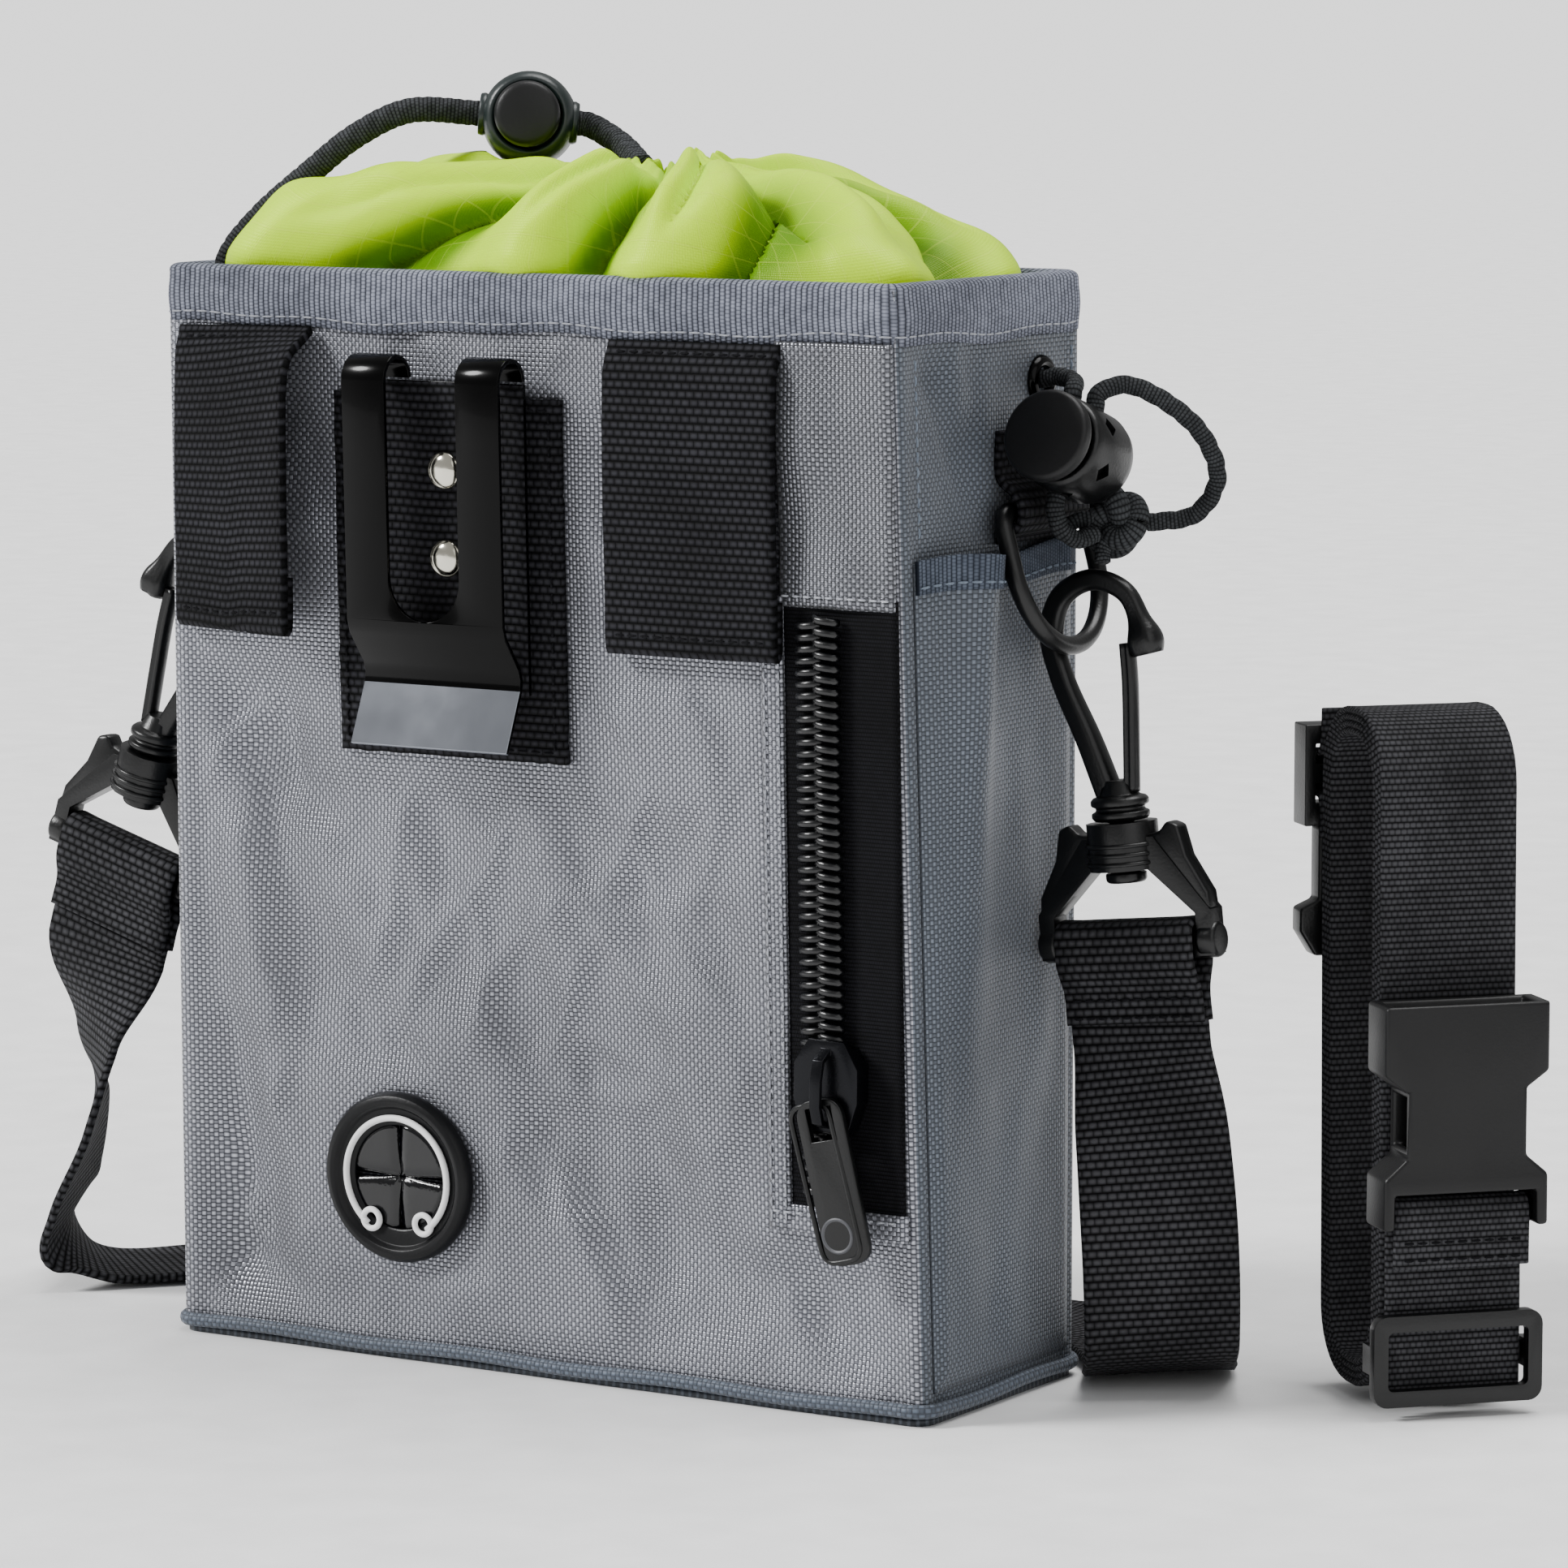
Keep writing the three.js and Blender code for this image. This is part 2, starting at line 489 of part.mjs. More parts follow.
function buildHook({ name, sign, ringY, lean }) {
  const place = new THREE.Group();
  place.position.set(sign * HOOK.x, ringY, HOOK.z);
  place.rotation.z = sign > 0 ? 0 : Math.PI;
  const hook = new THREE.Group();
  hook.rotation.y = -lean;
  place.add(hook);
  pouch.add(place);

  const diagonal = HOOK.radius * Math.SQRT1_2;
  const spine = [[0.2, 0, -30], [-3.4, 0, -19], [-7.6, 0, -8], [-HOOK.radius, 0, 0], [-diagonal, 0, diagonal],
    [0, 0, HOOK.radius], [diagonal, 0, diagonal], [HOOK.radius, 0, 0], [9.8, 0, -4.5]];
  const axle = (geometry) => geometry.translate(HOOK.hubX, 0, 0);
  const hub = axle(turned([[0, SWIVEL.blockFoot - 2.3], [SWIVEL.headR, SWIVEL.blockFoot - 2.3],
    [SWIVEL.headR, SWIVEL.blockFoot - GAP], [SWIVEL.pinR, SWIVEL.blockFoot - GAP], [SWIVEL.pinR, SWIVEL.hubFoot],
    [SWIVEL.hubR, SWIVEL.hubFoot], [SWIVEL.hubR, SWIVEL.hubTop], [0, SWIVEL.hubTop]], 16));
  add(hook, `hook_${name}`, join(tube(spine, HOOK.wire, 8, 28), hub), BLACK_PLASTIC);

  const gate = [[4.1, 0, SWIVEL.hubTop + 1.5 * GAP], [5, 0, -18], [5.7, 0, -9], [5.8, 0, -2.4]];
  add(hook, `hook_gate_${name}`, tube(gate, 1.3, 8, 8), BLACK_PLASTIC);

  const side = outline([[-7, -36], [7, -36], [FRAME.half, -49], [FRAME.half, FRAME.foot], [-FRAME.half, FRAME.foot],
    [-FRAME.half, -49]]);
  const window = outline([[-5.5, SWIVEL.blockFoot], [5.5, SWIVEL.blockFoot], [FRAME.window, -49.5],
    [FRAME.window, FRAME.barTop], [-FRAME.window, FRAME.barTop], [-FRAME.window, -49.5]]);
  const swivelBlock = rod(SWIVEL.blockR, SWIVEL.blockFoot, SWIVEL.hubFoot - GAP);
  const bore = rod(SWIVEL.pinR + GAP, SWIVEL.blockFoot - 3, SWIVEL.hubFoot + 1);
  const base = cut(join(plateXZ(side, FRAME.thick), swivelBlock), plateXZ(window, 3 * FRAME.thick), bore);
  add(hook, `hook_base_${name}`, axle(base), BLACK_PLASTIC);

  const half = [[3.5, -54], [3.5, -58], [0.95, -64], [0.95, -66]];
  const profile = [...half.map(([y, z]) => [-y, z]).reverse(), [-3.2, -52.1], [-1.6, -51.3], [1.6, -51.3], [3.2, -52.1],
    ...half];
  const points = profile.map(([y, z]) => vec(HOOK.hubX, y, z));
  add(hook, `strap_end_${name}`, strip(points, vec(1, 0, 0), STRAP.width, STRAP.thick), BLACK_WEBBING);
}

// Where the strap leaves a hook's base, a little further down the base's own axis each time.
function belowHook({ sign, ringY, lean }, along) {
  const local = STRAP.start - along;
  const x = sign * (HOOK.x + HOOK.hubX * Math.cos(lean) - local * Math.sin(lean));
  const z = HOOK.z + HOOK.hubX * Math.sin(lean) + local * Math.cos(lean);
  return [x, ringY, z, Math.cos(lean), 0, sign * Math.sin(lean)];
}

function buildStrap() {
  const [right, left] = SIDES;
  const { width, thick, backY, floor } = STRAP;
  const rightRun = [
    belowHook(right, 0), belowHook(right, 7), [102.5, 12, 45, 0.95, 0.3, 0], [104.5, 11.5, 25, 0.85, 0.52, 0],
    [103, 15, 9, 0.8, 0.6, 0], [97, 25, 2.4, 0.73, 0.68, 0], [90.5, 37, floor, 0.6, 0.8, 0], [80, 46.5, 1.6, 0.42, 0.9, 0],
    [72, 49.9, 2.6, 0.12, 0.99, 0], [66, backY, 2.9, 0, 1, 0], [62, backY, 2.9, 0, 1, 0],
  ];
  const leftRun = [
    belowHook(left, 0), belowHook(left, 7), [-115.5, -4, 48, 0.75, -0.6, 0], [-116, -3.5, 34, 0.524, -0.852, 0],
    [-122.5, -2.5, 17, 0.38, -0.92, 0], [-126.5, 0, 8, 0.45, -0.9, 0], [-122, 5.5, 2, 0.6, -0.8, 0],
    [-107, 23, floor, 0.7, -0.71, 0], [-93, 42, floor, 0.6, -0.8, 0], [-76, 50, floor, 0.25, -0.97, 0],
    [-60, backY, floor, 0, -1, 0], [-42.3, backY, floor, 0, -1, 0],
  ];
  add(pouch, "strap_right", band(rightRun, width, thick, 34), BLACK_WEBBING);
  add(pouch, "strap_left", band(leftRun, width, thick, 40), BLACK_WEBBING);

  const across = vec(0, 1, 0);
  const straight = [vec(61.7, backY, 2.9), vec(30.3, backY, 2.9)];
  add(pouch, "strap_back", strip(straight, across, width, thick), BLACK_WEBBING);

  const folded = plateXZ(roundedOutline(72, 9, 4.4), width, 0, 4);
  add(pouch, "strap_spare", folded.translate(-6, backY, 4.8), BLACK_WEBBING);

  const slide = new THREE.Group();
  slide.position.set(46, backY, 0);
  pouch.add(slide);
  const half = width / 2;
  const rim = cut(block(-7, 7, -half - 3, half + 3, 0, 5), block(-4.6, 4.6, -half - 0.4, half + 0.4, -1, 6),
    block(-8, 8, -half - 0.4, half + 0.4, 1.9, 6));
  const centreBar = block(-1.4, 1.4, -half - 2, half + 2, 3.9, 6);
  add(slide, "strap_slider", join(rim, centreBar), BLACK_PLASTIC);
}

// The pocket's front: flat on the gusset at its foot and edges, standing open towards its front half.
function buildPocket() {
  const lift = (y, rise) => {
    const spread = (y - POCKET.bulgeY) / POCKET.bulgeSpread;
    return GAP + POCKET.bulge * Math.exp(-spread * spread) * rise * rise;
  };
  const side = (extra) => (u, v) => {
    const z = lerp(POCKET.bottom, POCKET.top, v);
    const y = lerp(-1, 1, u) * (halfDepth(z) - CORNER) * POCKET.halfWidth;
    return vec(halfWidth(z) + lift(y, v) + extra, y, z);
  };
  add(pouch, "side_pocket", shell(14, 5, side(POCKET.wall), side(0)), SIDE_FABRIC);
}

// ---- what is sewn and riveted to the clip face ----
const FACE_TILT = Math.atan((HALF_DEPTH.top - HALF_DEPTH.bottom) / HEIGHT);
const face = new THREE.Group();
face.position.set(0, -HALF_DEPTH.bottom, 0);
face.rotation.x = FACE_TILT;
pouch.add(face);

function buildBeltLoops() {
  const flat = GAP + WEBBING / 2;
  const { top, bottom, stand } = LOOP;
  const profile = [[flat, top], [flat, top - 3.5], [stand * 0.75, top - 7], [stand, top - 11], [stand, bottom + 11],
    [stand * 0.75, bottom + 7], [flat, bottom + 3.5], [flat, bottom]];
  ["left", "right"].forEach((name, k) => {
    const points = profile.map(([out, z]) => vec(LOOP_X[k], -out, z));
    add(face, `belt_loop_${name}`, strip(points, vec(1, 0, 0), LOOP.width, WEBBING), BLACK_WEBBING);
  });
}

function buildClip() {
  const patchFace = GAP + PATCH.thick;
  const patchHalf = PATCH.width / 2;
  const patch = block(PATCH.x - patchHalf, PATCH.x + patchHalf, -patchFace, -GAP, PATCH.bottom, PATCH.top);
  add(face, "clip_patch", patch, BLACK_WEBBING);

  const plateBack = patchFace + GAP;
  const plateFace = plateBack + CLIP.steel;
  const half = CLIP.width / 2;
  const shankHoles = RIVET.heights.map((z) => rod(RIVET.shank + GAP, -9, 9, 12).rotateX(Math.PI / 2).translate(RIVET.x, 0, z));
  const plate = block(CLIP.x - half, CLIP.x + half, -plateFace, -plateBack, 122, CLIP.foldZ - 0.4);
  add(face, "clip_plate", cut(plate, ...shankHoles), BLACK_STEEL);

  const foldY = (plateBack + CLIP.steel / 2 + CLIP.reach) / 2;
  const foldR = CLIP.reach - foldY;
  const fold = Array.from({ length: 9 }, (_, k) => {
    const angle = (Math.PI * k) / 8;
    return [foldY - foldR * Math.cos(angle), CLIP.foldZ + foldR * Math.sin(angle)];
  });
  const profile = [...fold, [CLIP.reach, 135], [CLIP.reach - 0.7, 132.6], [5.9, 127], [5.3, 125], [5.6, 123], [10.3, 112.6]];
  const points = profile.map(([out, z]) => vec(CLIP.x, -out, z));
  const slotR = CLIP.slotWidth / 2;
  const slot = new THREE.Shape();
  slot.absarc(0, CLIP.slotFoot + slotR, slotR, Math.PI, 2 * Math.PI);
  slot.lineTo(slotR, CLIP.foldZ + 12);
  slot.lineTo(-slotR, CLIP.foldZ + 12);
  const slotCut = plateXZ(slot, 30, 0, 8).translate(CLIP.x, 0, 0);
  const tongue = strip(points, vec(1, 0, 0), CLIP.width, CLIP.steel);
  add(face, "clip_tongue", cut(tongue, slotCut), BLACK_STEEL);

  const seat = plateFace + GAP;
  ["lower", "upper"].forEach((name, k) => {
    const rivet = turned([[0, plateBack], [RIVET.shank, plateBack], [RIVET.shank, seat], [RIVET.head, seat],
      [RIVET.head * 0.86, seat + 0.9], [RIVET.head * 0.45, seat + 1.5], [0, seat + 1.6]], 16);
    rivet.rotateX(Math.PI / 2).translate(RIVET.x, 0, RIVET.heights[k]);
    add(face, `clip_rivet_${name}`, positionsOnly(rivet), BRIGHT_STEEL);
  });
}

function buildZip() {
  const tapeFace = GAP + 0.8;
  add(face, "zip_tape", block(ZIP.left, ZIP.right, -tapeFace, -GAP, ZIP.bottom, ZIP.top), BLACK_WEBBING);

  const run = new THREE.Group();
  run.position.set(ZIP.x, 0, 0);
  run.rotation.y = ZIP.slant;
  face.add(run);
  const seat = tapeFace + GAP;
  const half = ZIP.chainWidth / 2;
  const chainFace = seat + 2.2;
  add(run, "zip_chain", block(-half, half, -chainFace, -seat, ZIP.bottom + 2, ZIP.top - 1), BLACK_PLASTIC);

  const z = ZIP.sliderZ;
  const bodyFace = chainFace + GAP + 1.4;
  const bodyOutline = outline([[-4.5, z], [4.5, z], [6.3, z + 5.5], [6.3, z + 11.5], [3.5, z + 16], [-3.5, z + 16],
    [-6.3, z + 11.5], [-6.3, z + 5.5]]);
  const body = plateXZ(bodyOutline, bodyFace - seat, -(bodyFace + seat) / 2);
  const channel = block(-half - GAP, half + GAP, -chainFace - GAP, 0, z - 1, z + 17);
  const bridgeTop = bodyFace + 3.1;
  const bridge = [[bodyFace - 0.4, z + 14.3], [bodyFace + 2.3, z + 12.7], [bridgeTop, z + 9.5], [bridgeTop, z + 5],
    [bodyFace + 2.1, z + 2.1], [bodyFace - 0.4, z + 1.1]].map(([out, height]) => vec(0, -out, height));
  add(run, "zip_slider", join(cut(body, channel), strip(bridge, vec(1, 0, 0), 2, 1)), BLACK_STEEL);

  const tab = roundedOutline(9.2, 29, 3.2);
  const eye = outline([[-2.6, 7.3], [2.6, 7.3], [2.6, 13.1], [-2.6, 13.1]]);
  tab.holes.push(eye);
  const pull = plateXZ(tab, 1.4, -(bodyFace + 1.3), 3);
  add(run, "zip_pull", positionsOnly(pull.translate(0, 0, z + 5.5 - 14.5)), BLACK_PLASTIC);
}

function buildGrommet() {
  const { x, z, outer, step, inner } = GROMMET;
  const onFace = (geometry) => geometry.rotateX(Math.PI / 2).translate(x, 0, z);
  const rimProfile = [[inner, GAP], [outer, GAP], [outer, 2.2], [outer - 1, 3.2], [step + 0.5, 3.2], [step, 2],
    [inner, 2], [inner, GAP]];
  add(face, "grommet_ring", positionsOnly(onFace(turned(rimProfile, 32))), BLACK_PLASTIC);

  const slits = [block(-6, 6, -0.25, 0.25, 0, 3), block(-0.25, 0.25, -6, 6, 0, 3)];
  add(face, "grommet_membrane", onFace(cut(rod(inner - GAP, 0.5, 1.3, 28), ...slits)), BLACK_PLASTIC);

  const arc = new THREE.Shape();
  const from = -0.3 * Math.PI;
  const to = 1.3 * Math.PI;
  arc.absarc(0, 0, 11.5, from, to);
  arc.absarc(0, 0, 10.3, to, from, true);
  const printDepth = 0.8;
  const printed = (shape, cx, cz) =>
    new THREE.ExtrudeGeometry(shape, { depth: printDepth, bevelEnabled: false, curveSegments: 12 }).translate(cx, cz, 2.3);
  const bud = new THREE.Shape().absarc(0, 0, 2.4, 0, 2 * Math.PI);
  bud.holes.push(new THREE.Path().absarc(0, 0, 1.1, 0, 2 * Math.PI));
  const symbol = join(printed(arc, 0, 0), ...[-5.6, 5.6].map((side) => printed(bud, side, -8)));
  add(face, "grommet_symbol", onFace(symbol), WHITE_PRINT);
}

// ---- the spare waist belt, wound up and standing beside the pouch ----
const belt = new THREE.Group();
belt.position.set(BELT.x, BELT.y, 0);
belt.rotation.z = BELT.yaw;
pouch.add(belt);

function buildBeltWebbing() {
  const { width, depth, height, wall, corner } = BELT;
  const wound = roundedOutline(depth, height, corner);
  wound.holes.push(roundedOutline(depth - 2 * wall, height - 2 * wall, corner - wall));
  const coil = plateXZ(wound, width, 0, 6).rotateZ(Math.PI / 2).translate(0, 0, height / 2 + GAP);
  add(belt, "belt_webbing", positionsOnly(coil), BLACK_WEBBING);

  const tail = [[-18.55, 1.5], [-18.55, 36], [-19.2, 37.2], [-20.55, 37.7], [-21.9, 37.2], [-22.55, 36], [-22.55, 27]];
  const points = tail.map(([y, z]) => vec(0, y, z));
  add(belt, "belt_tail", strip(points, vec(1, 0, 0), width, 1.3), BLACK_WEBBING);
}

function buildBeltSlider() {
  const frame = roundedOutline(31, 16, 2.5);
  frame.holes.push(roundedOutline(25.8, 10.4, 1));
  const front = plateXZ(frame, 2.4, -20.8, 3);
  const rails = [-1, 1].map((side) => block(side * 14.2 - 1.2, side * 14.2 + 1.2, -20, -15.9, -2.5, 2.5));
  const centreBar = block(-15.4, 15.4, -17.5, -15.9, -1.4, 1.4);
  add(belt, "belt_slider", join(front, ...rails, centreBar).translate(0, 0, 9.6), BLACK_PLASTIC);
}

function buildBuckle() {
  const { foot, top, half, waist, y, thick, hollow } = BUCKLE;
  const right = [[half, foot], [half, foot + 9], [waist, foot + 12.5], [waist, top - 15], [half, top - 12], [half, top]];
  const socket = outline([...right, ...right.map(([x, z]) => [-x, z]).reverse()]);
  const barTop = foot + 2.8;
  const cuts = [
    block(-9, 9, y - hollow, y + hollow, foot + 12, top + 1),
    block(-12.8, 12.8, y - hollow, y + hollow, top - 11, top + 1),
    block(-half - 1, half + 1, y - hollow, y + hollow, foot + 14, top - 16),
    block(-13, 13, y - thick, y + thick, barTop, barTop + 3.4),
    block(-13, 13, y - thick, y - 1.2, foot - 1, barTop + 1),
    block(-13, 13, y + 0.6, y + thick, foot - 1, barTop + 1),
  ];
  add(belt, "buckle_socket", cut(plateXZ(socket, thick, y), ...cuts), BLACK_PLASTIC);

  const frame = block(-PLUG.half, PLUG.half, PLUG.y - 3, PLUG.y + 3, PLUG.foot, PLUG.top);
  const slots = [
    block(-13, 13, PLUG.y - 9, PLUG.y + 9, PLUG.top - 7, PLUG.top - 3.4),
    block(-13, 13, PLUG.y - 9, PLUG.y + 9, PLUG.foot + 4, PLUG.foot + 7.6),
  ];
  const guide = block(-4.2, 4.2, PLUG.y - 2.4, PLUG.y + 2.4, PLUG.foot - 25, PLUG.foot + 2);
  const guideSlot = block(-1.6, 1.6, PLUG.y - 9, PLUG.y + 9, PLUG.foot - 21, PLUG.foot - 4);
  add(belt, "buckle_plug", cut(join(frame, guide), ...slots, guideSlot), BLACK_PLASTIC);
  const root = PLUG.foot - GAP;
  const prong = [[8.6, root], [12, root], [12, root - 13], [15.4, root - 14.5], [15.4, root - 18.5], [12.6, root - 23],
    [9.6, root - 23], [9, root - 17], [8.6, root - 8]];
  [["left", -1], ["right", 1]].forEach(([name, side]) => {
    const shape = outline(prong.map(([x, z]) => [side * x, z]));
    add(belt, `buckle_prong_${name}`, plateXZ(shape, 4.6, PLUG.y), BLACK_PLASTIC);
  });
}

buildShell();
buildCollar();
buildCordLocks();
buildSideCord();
for (const side of SIDES) {
  buildRingTab(side);
  buildRing(side);
  buildHook(side);
}
buildStrap();
buildPocket();
buildBeltLoops();
buildClip();
buildZip();
buildGrommet();
buildBeltWebbing();
buildBeltSlider();
buildBuckle();

export default pouch;
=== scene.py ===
"""Looks of a drawstring treat pouch, with its shoulder strap and a spare waist belt beside it.

All shapes are in millimetres and become metres where their meshes are made.
"""
import json
import math

import bmesh
import bpy
from mathutils import Matrix, Vector, noise

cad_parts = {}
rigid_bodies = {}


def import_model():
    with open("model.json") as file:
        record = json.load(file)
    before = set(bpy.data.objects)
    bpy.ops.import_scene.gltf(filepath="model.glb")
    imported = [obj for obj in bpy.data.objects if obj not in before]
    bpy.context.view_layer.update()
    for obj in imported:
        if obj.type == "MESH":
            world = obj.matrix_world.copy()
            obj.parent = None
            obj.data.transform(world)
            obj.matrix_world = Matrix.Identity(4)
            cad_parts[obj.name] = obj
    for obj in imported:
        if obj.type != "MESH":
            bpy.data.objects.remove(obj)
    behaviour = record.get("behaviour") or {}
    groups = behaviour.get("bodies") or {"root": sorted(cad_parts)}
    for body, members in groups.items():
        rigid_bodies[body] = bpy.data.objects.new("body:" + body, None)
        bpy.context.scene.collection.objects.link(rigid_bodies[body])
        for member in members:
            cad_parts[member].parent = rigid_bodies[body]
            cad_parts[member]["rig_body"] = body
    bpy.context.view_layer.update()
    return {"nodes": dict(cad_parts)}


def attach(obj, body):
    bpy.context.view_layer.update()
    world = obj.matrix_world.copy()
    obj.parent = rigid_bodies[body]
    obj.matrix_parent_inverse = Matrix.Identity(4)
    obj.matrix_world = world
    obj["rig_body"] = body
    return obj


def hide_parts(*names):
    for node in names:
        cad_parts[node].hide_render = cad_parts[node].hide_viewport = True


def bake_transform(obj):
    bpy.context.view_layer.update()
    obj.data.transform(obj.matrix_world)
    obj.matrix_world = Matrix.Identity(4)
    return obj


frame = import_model()
MM = 0.001
CM = 10.0  # millimetres in the centimetre that the weave layer counts in

# ---- driving dimensions ----
HEIGHT = 196.0
HALF_WIDTH = (79.0, 76.0)
HALF_DEPTH = (26.5, 32.0)
CORNER = 3.0
WEBBING = 1.4
TILT = math.atan((HALF_DEPTH[1] - HALF_DEPTH[0]) / HEIGHT)
FLOOR_GAP = 0.85
FLOOR_REACH = 90000.0
CAMERA_REACH_M = 300
SEAM_FADE = 7.5


def lerp(a, b, t):
    """The value a share t of the way from a to b."""
    return a + (b - a) * t


def ease(t):
    """0 to 1 with a flat start and end."""
    t = min(max(t, 0.0), 1.0)
    return t * t * (3 - 2 * t)


def hump(distance, width):
    """1 at no distance, falling smoothly to 0 within about two widths."""
    return math.exp(-((distance / width) ** 2))


def half_width(z):
    return lerp(*HALF_WIDTH, z / HEIGHT)


def half_depth(z):
    return lerp(*HALF_DEPTH, z / HEIGHT)


def on_face(x, out, z):
    """A point of the clip face: x across it, out of it, and z up it."""
    return Vector((
        x,
        -HALF_DEPTH[0] - out * math.cos(TILT) - z * math.sin(TILT),
        z * math.cos(TILT) - out * math.sin(TILT),
    ))


FACE_NORMAL = on_face(0, 1, 0) - on_face(0, 0, 0)
OUT_OF_FACE = Vector((0, -1, 0))
OUT_OF_GUSSET = Vector((1, 0, 0))


# ---- materials ----
def add_node(tree, kind, settings=None, **inputs):
    """A shader node; inputs are given by name, as values or as sockets to link."""
    made = tree.nodes.new(kind)
    for name, value in (settings or {}).items():
        setattr(made, name, value)
    for name, value in inputs.items():
        socket = made.inputs[name.replace("_", " ")]
        if isinstance(value, bpy.types.NodeSocket):
            tree.links.new(value, socket)
        else:
            socket.default_value = value
    return made


def calc(tree, operation, *values):
    made = tree.nodes.new("ShaderNodeMath")
    made.operation = operation
    for socket, value in zip(made.inputs, values):
        if isinstance(value, bpy.types.NodeSocket):
            tree.links.new(value, socket)
        else:
            socket.default_value = value
    return made.outputs[0]


def blend_colours(tree, share, first, second):
    made = add_node(tree, "ShaderNodeMix", {"data_type": "RGBA"})
    for index, value in ((0, share), (6, first), (7, second)):
        if isinstance(value, bpy.types.NodeSocket):
            tree.links.new(value, made.inputs[index])
        else:
            made.inputs[index].default_value = value
    return made.outputs[2]


def clouds(tree, size, detail=2.0):
    """Noise with features of that size in metres, in the piece's own space."""
    place = add_node(tree, "ShaderNodeTexCoord").outputs["Object"]
    return add_node(tree, "ShaderNodeTexNoise", Vector=place, Scale=1 / size, Detail=detail).outputs["Fac"]


def new_material(name, **values):
    """An empty material and its shader, with the shader's plain values set."""
    material = bpy.data.materials.new(name)
    material.use_nodes = True
    shader = material.node_tree.nodes["Principled BSDF"]
    for key, value in values.items():
        shader.inputs[key.replace("_", " ")].default_value = value
    return material, material.node_tree, shader


def raise_surface(tree, shader, height, depth, strength=1.0):
    """Bump from a height of 0 to 1 that stands for depth millimetres."""
    made = add_node(tree, "ShaderNodeBump", Height=height, Strength=strength, Distance=depth * MM)
    tree.links.new(made.outputs["Normal"], shader.inputs["Normal"])


def weave_axes(tree, pitch_x, pitch_y):
    """Weave coordinates, in threads, from the mesh's weave layer, which is in centimetres."""
    layer = add_node(tree, "ShaderNodeUVMap", {"uv_map": "weave"}).outputs["UV"]
    split = add_node(tree, "ShaderNodeSeparateXYZ", Vector=layer)
    return (calc(tree, "MULTIPLY", split.outputs[0], CM / pitch_x),
            calc(tree, "MULTIPLY", split.outputs[1], CM / pitch_y))


def painted_fold_shade(tree):
    """Painted shade for the creases of folds: 0 on open cloth to 1 deep in a fold, from the mesh's layer that
    holds it.
    """
    layer = add_node(tree, "ShaderNodeUVMap", {"uv_map": "hollows"}).outputs["UV"]
    return add_node(tree, "ShaderNodeSeparateXYZ", Vector=layer).outputs[0]


def thread_profile(tree, x):
    return calc(tree, "SQRT", calc(tree, "ABSOLUTE", calc(tree, "SINE", calc(tree, "MULTIPLY", x, math.pi))))


def plain_weave(tree, pitch_x, pitch_y):
    """Height of an over-and-under weave, and which thread is on top: 1 for the lengthwise ones."""
    x, y = weave_axes(tree, pitch_x, pitch_y)
    steps = calc(tree, "ADD", calc(tree, "FLOOR", x), calc(tree, "FLOOR", y))
    over = calc(tree, "FLOORED_MODULO", steps, 2.0)
    across, along = thread_profile(tree, x), thread_profile(tree, y)
    warp = calc(tree, "MULTIPLY", across, calc(tree, "MULTIPLY_ADD", along, 0.5, 0.5))
    weft = calc(tree, "MULTIPLY", along, calc(tree, "MULTIPLY_ADD", across, 0.5, 0.4))
    mixed = add_node(tree, "ShaderNodeMix", Factor=over)
    tree.links.new(weft, mixed.inputs[2])
    tree.links.new(warp, mixed.inputs[3])
    return mixed.outputs[0], over


def rgb(red, green, blue):
    """A shader colour from screen values of 0 to 255."""
    return (*[(value / 255) ** 2.2 for value in (red, green, blue)], 1.0)


def oxford(name, dark, light, metallic, roughness, pitch=0.78):
    """Coated oxford cloth: a plain weave whose raised threads shine, with that shine painted into the colour
    as a lighter tone: a painted highlight.
    """
    material, tree, shader = new_material(name, Metallic=metallic, Specular_IOR_Level=0.5, Sheen_Weight=0.15)
    height, over = plain_weave(tree, pitch, pitch)
    # painted highlight: raised threads get the light colour, the lengthwise ones more
    lit = calc(tree, "MULTIPLY", calc(tree, "POWER", height, 1.6),
               calc(tree, "MULTIPLY_ADD", over, 0.55, 0.45))
    shade = blend_colours(tree, lit, dark, light)
    patchy = calc(tree, "MULTIPLY_ADD", clouds(tree, 0.045, 3.0), 0.9, 0.55)
    tinted = add_node(tree, "ShaderNodeHueSaturation", Value=patchy, Color=shade)
    tree.links.new(tinted.outputs["Color"], shader.inputs["Base Color"])
    rough = calc(tree, "MULTIPLY_ADD", clouds(tree, 0.012), 0.2, roughness - 0.1)
    tree.links.new(rough, shader.inputs["Roughness"])
    rumpled = calc(tree, "MULTIPLY_ADD", clouds(tree, 0.016, 2.0), 4.0, height)
    raise_surface(tree, shader, rumpled, 0.16)
    return material


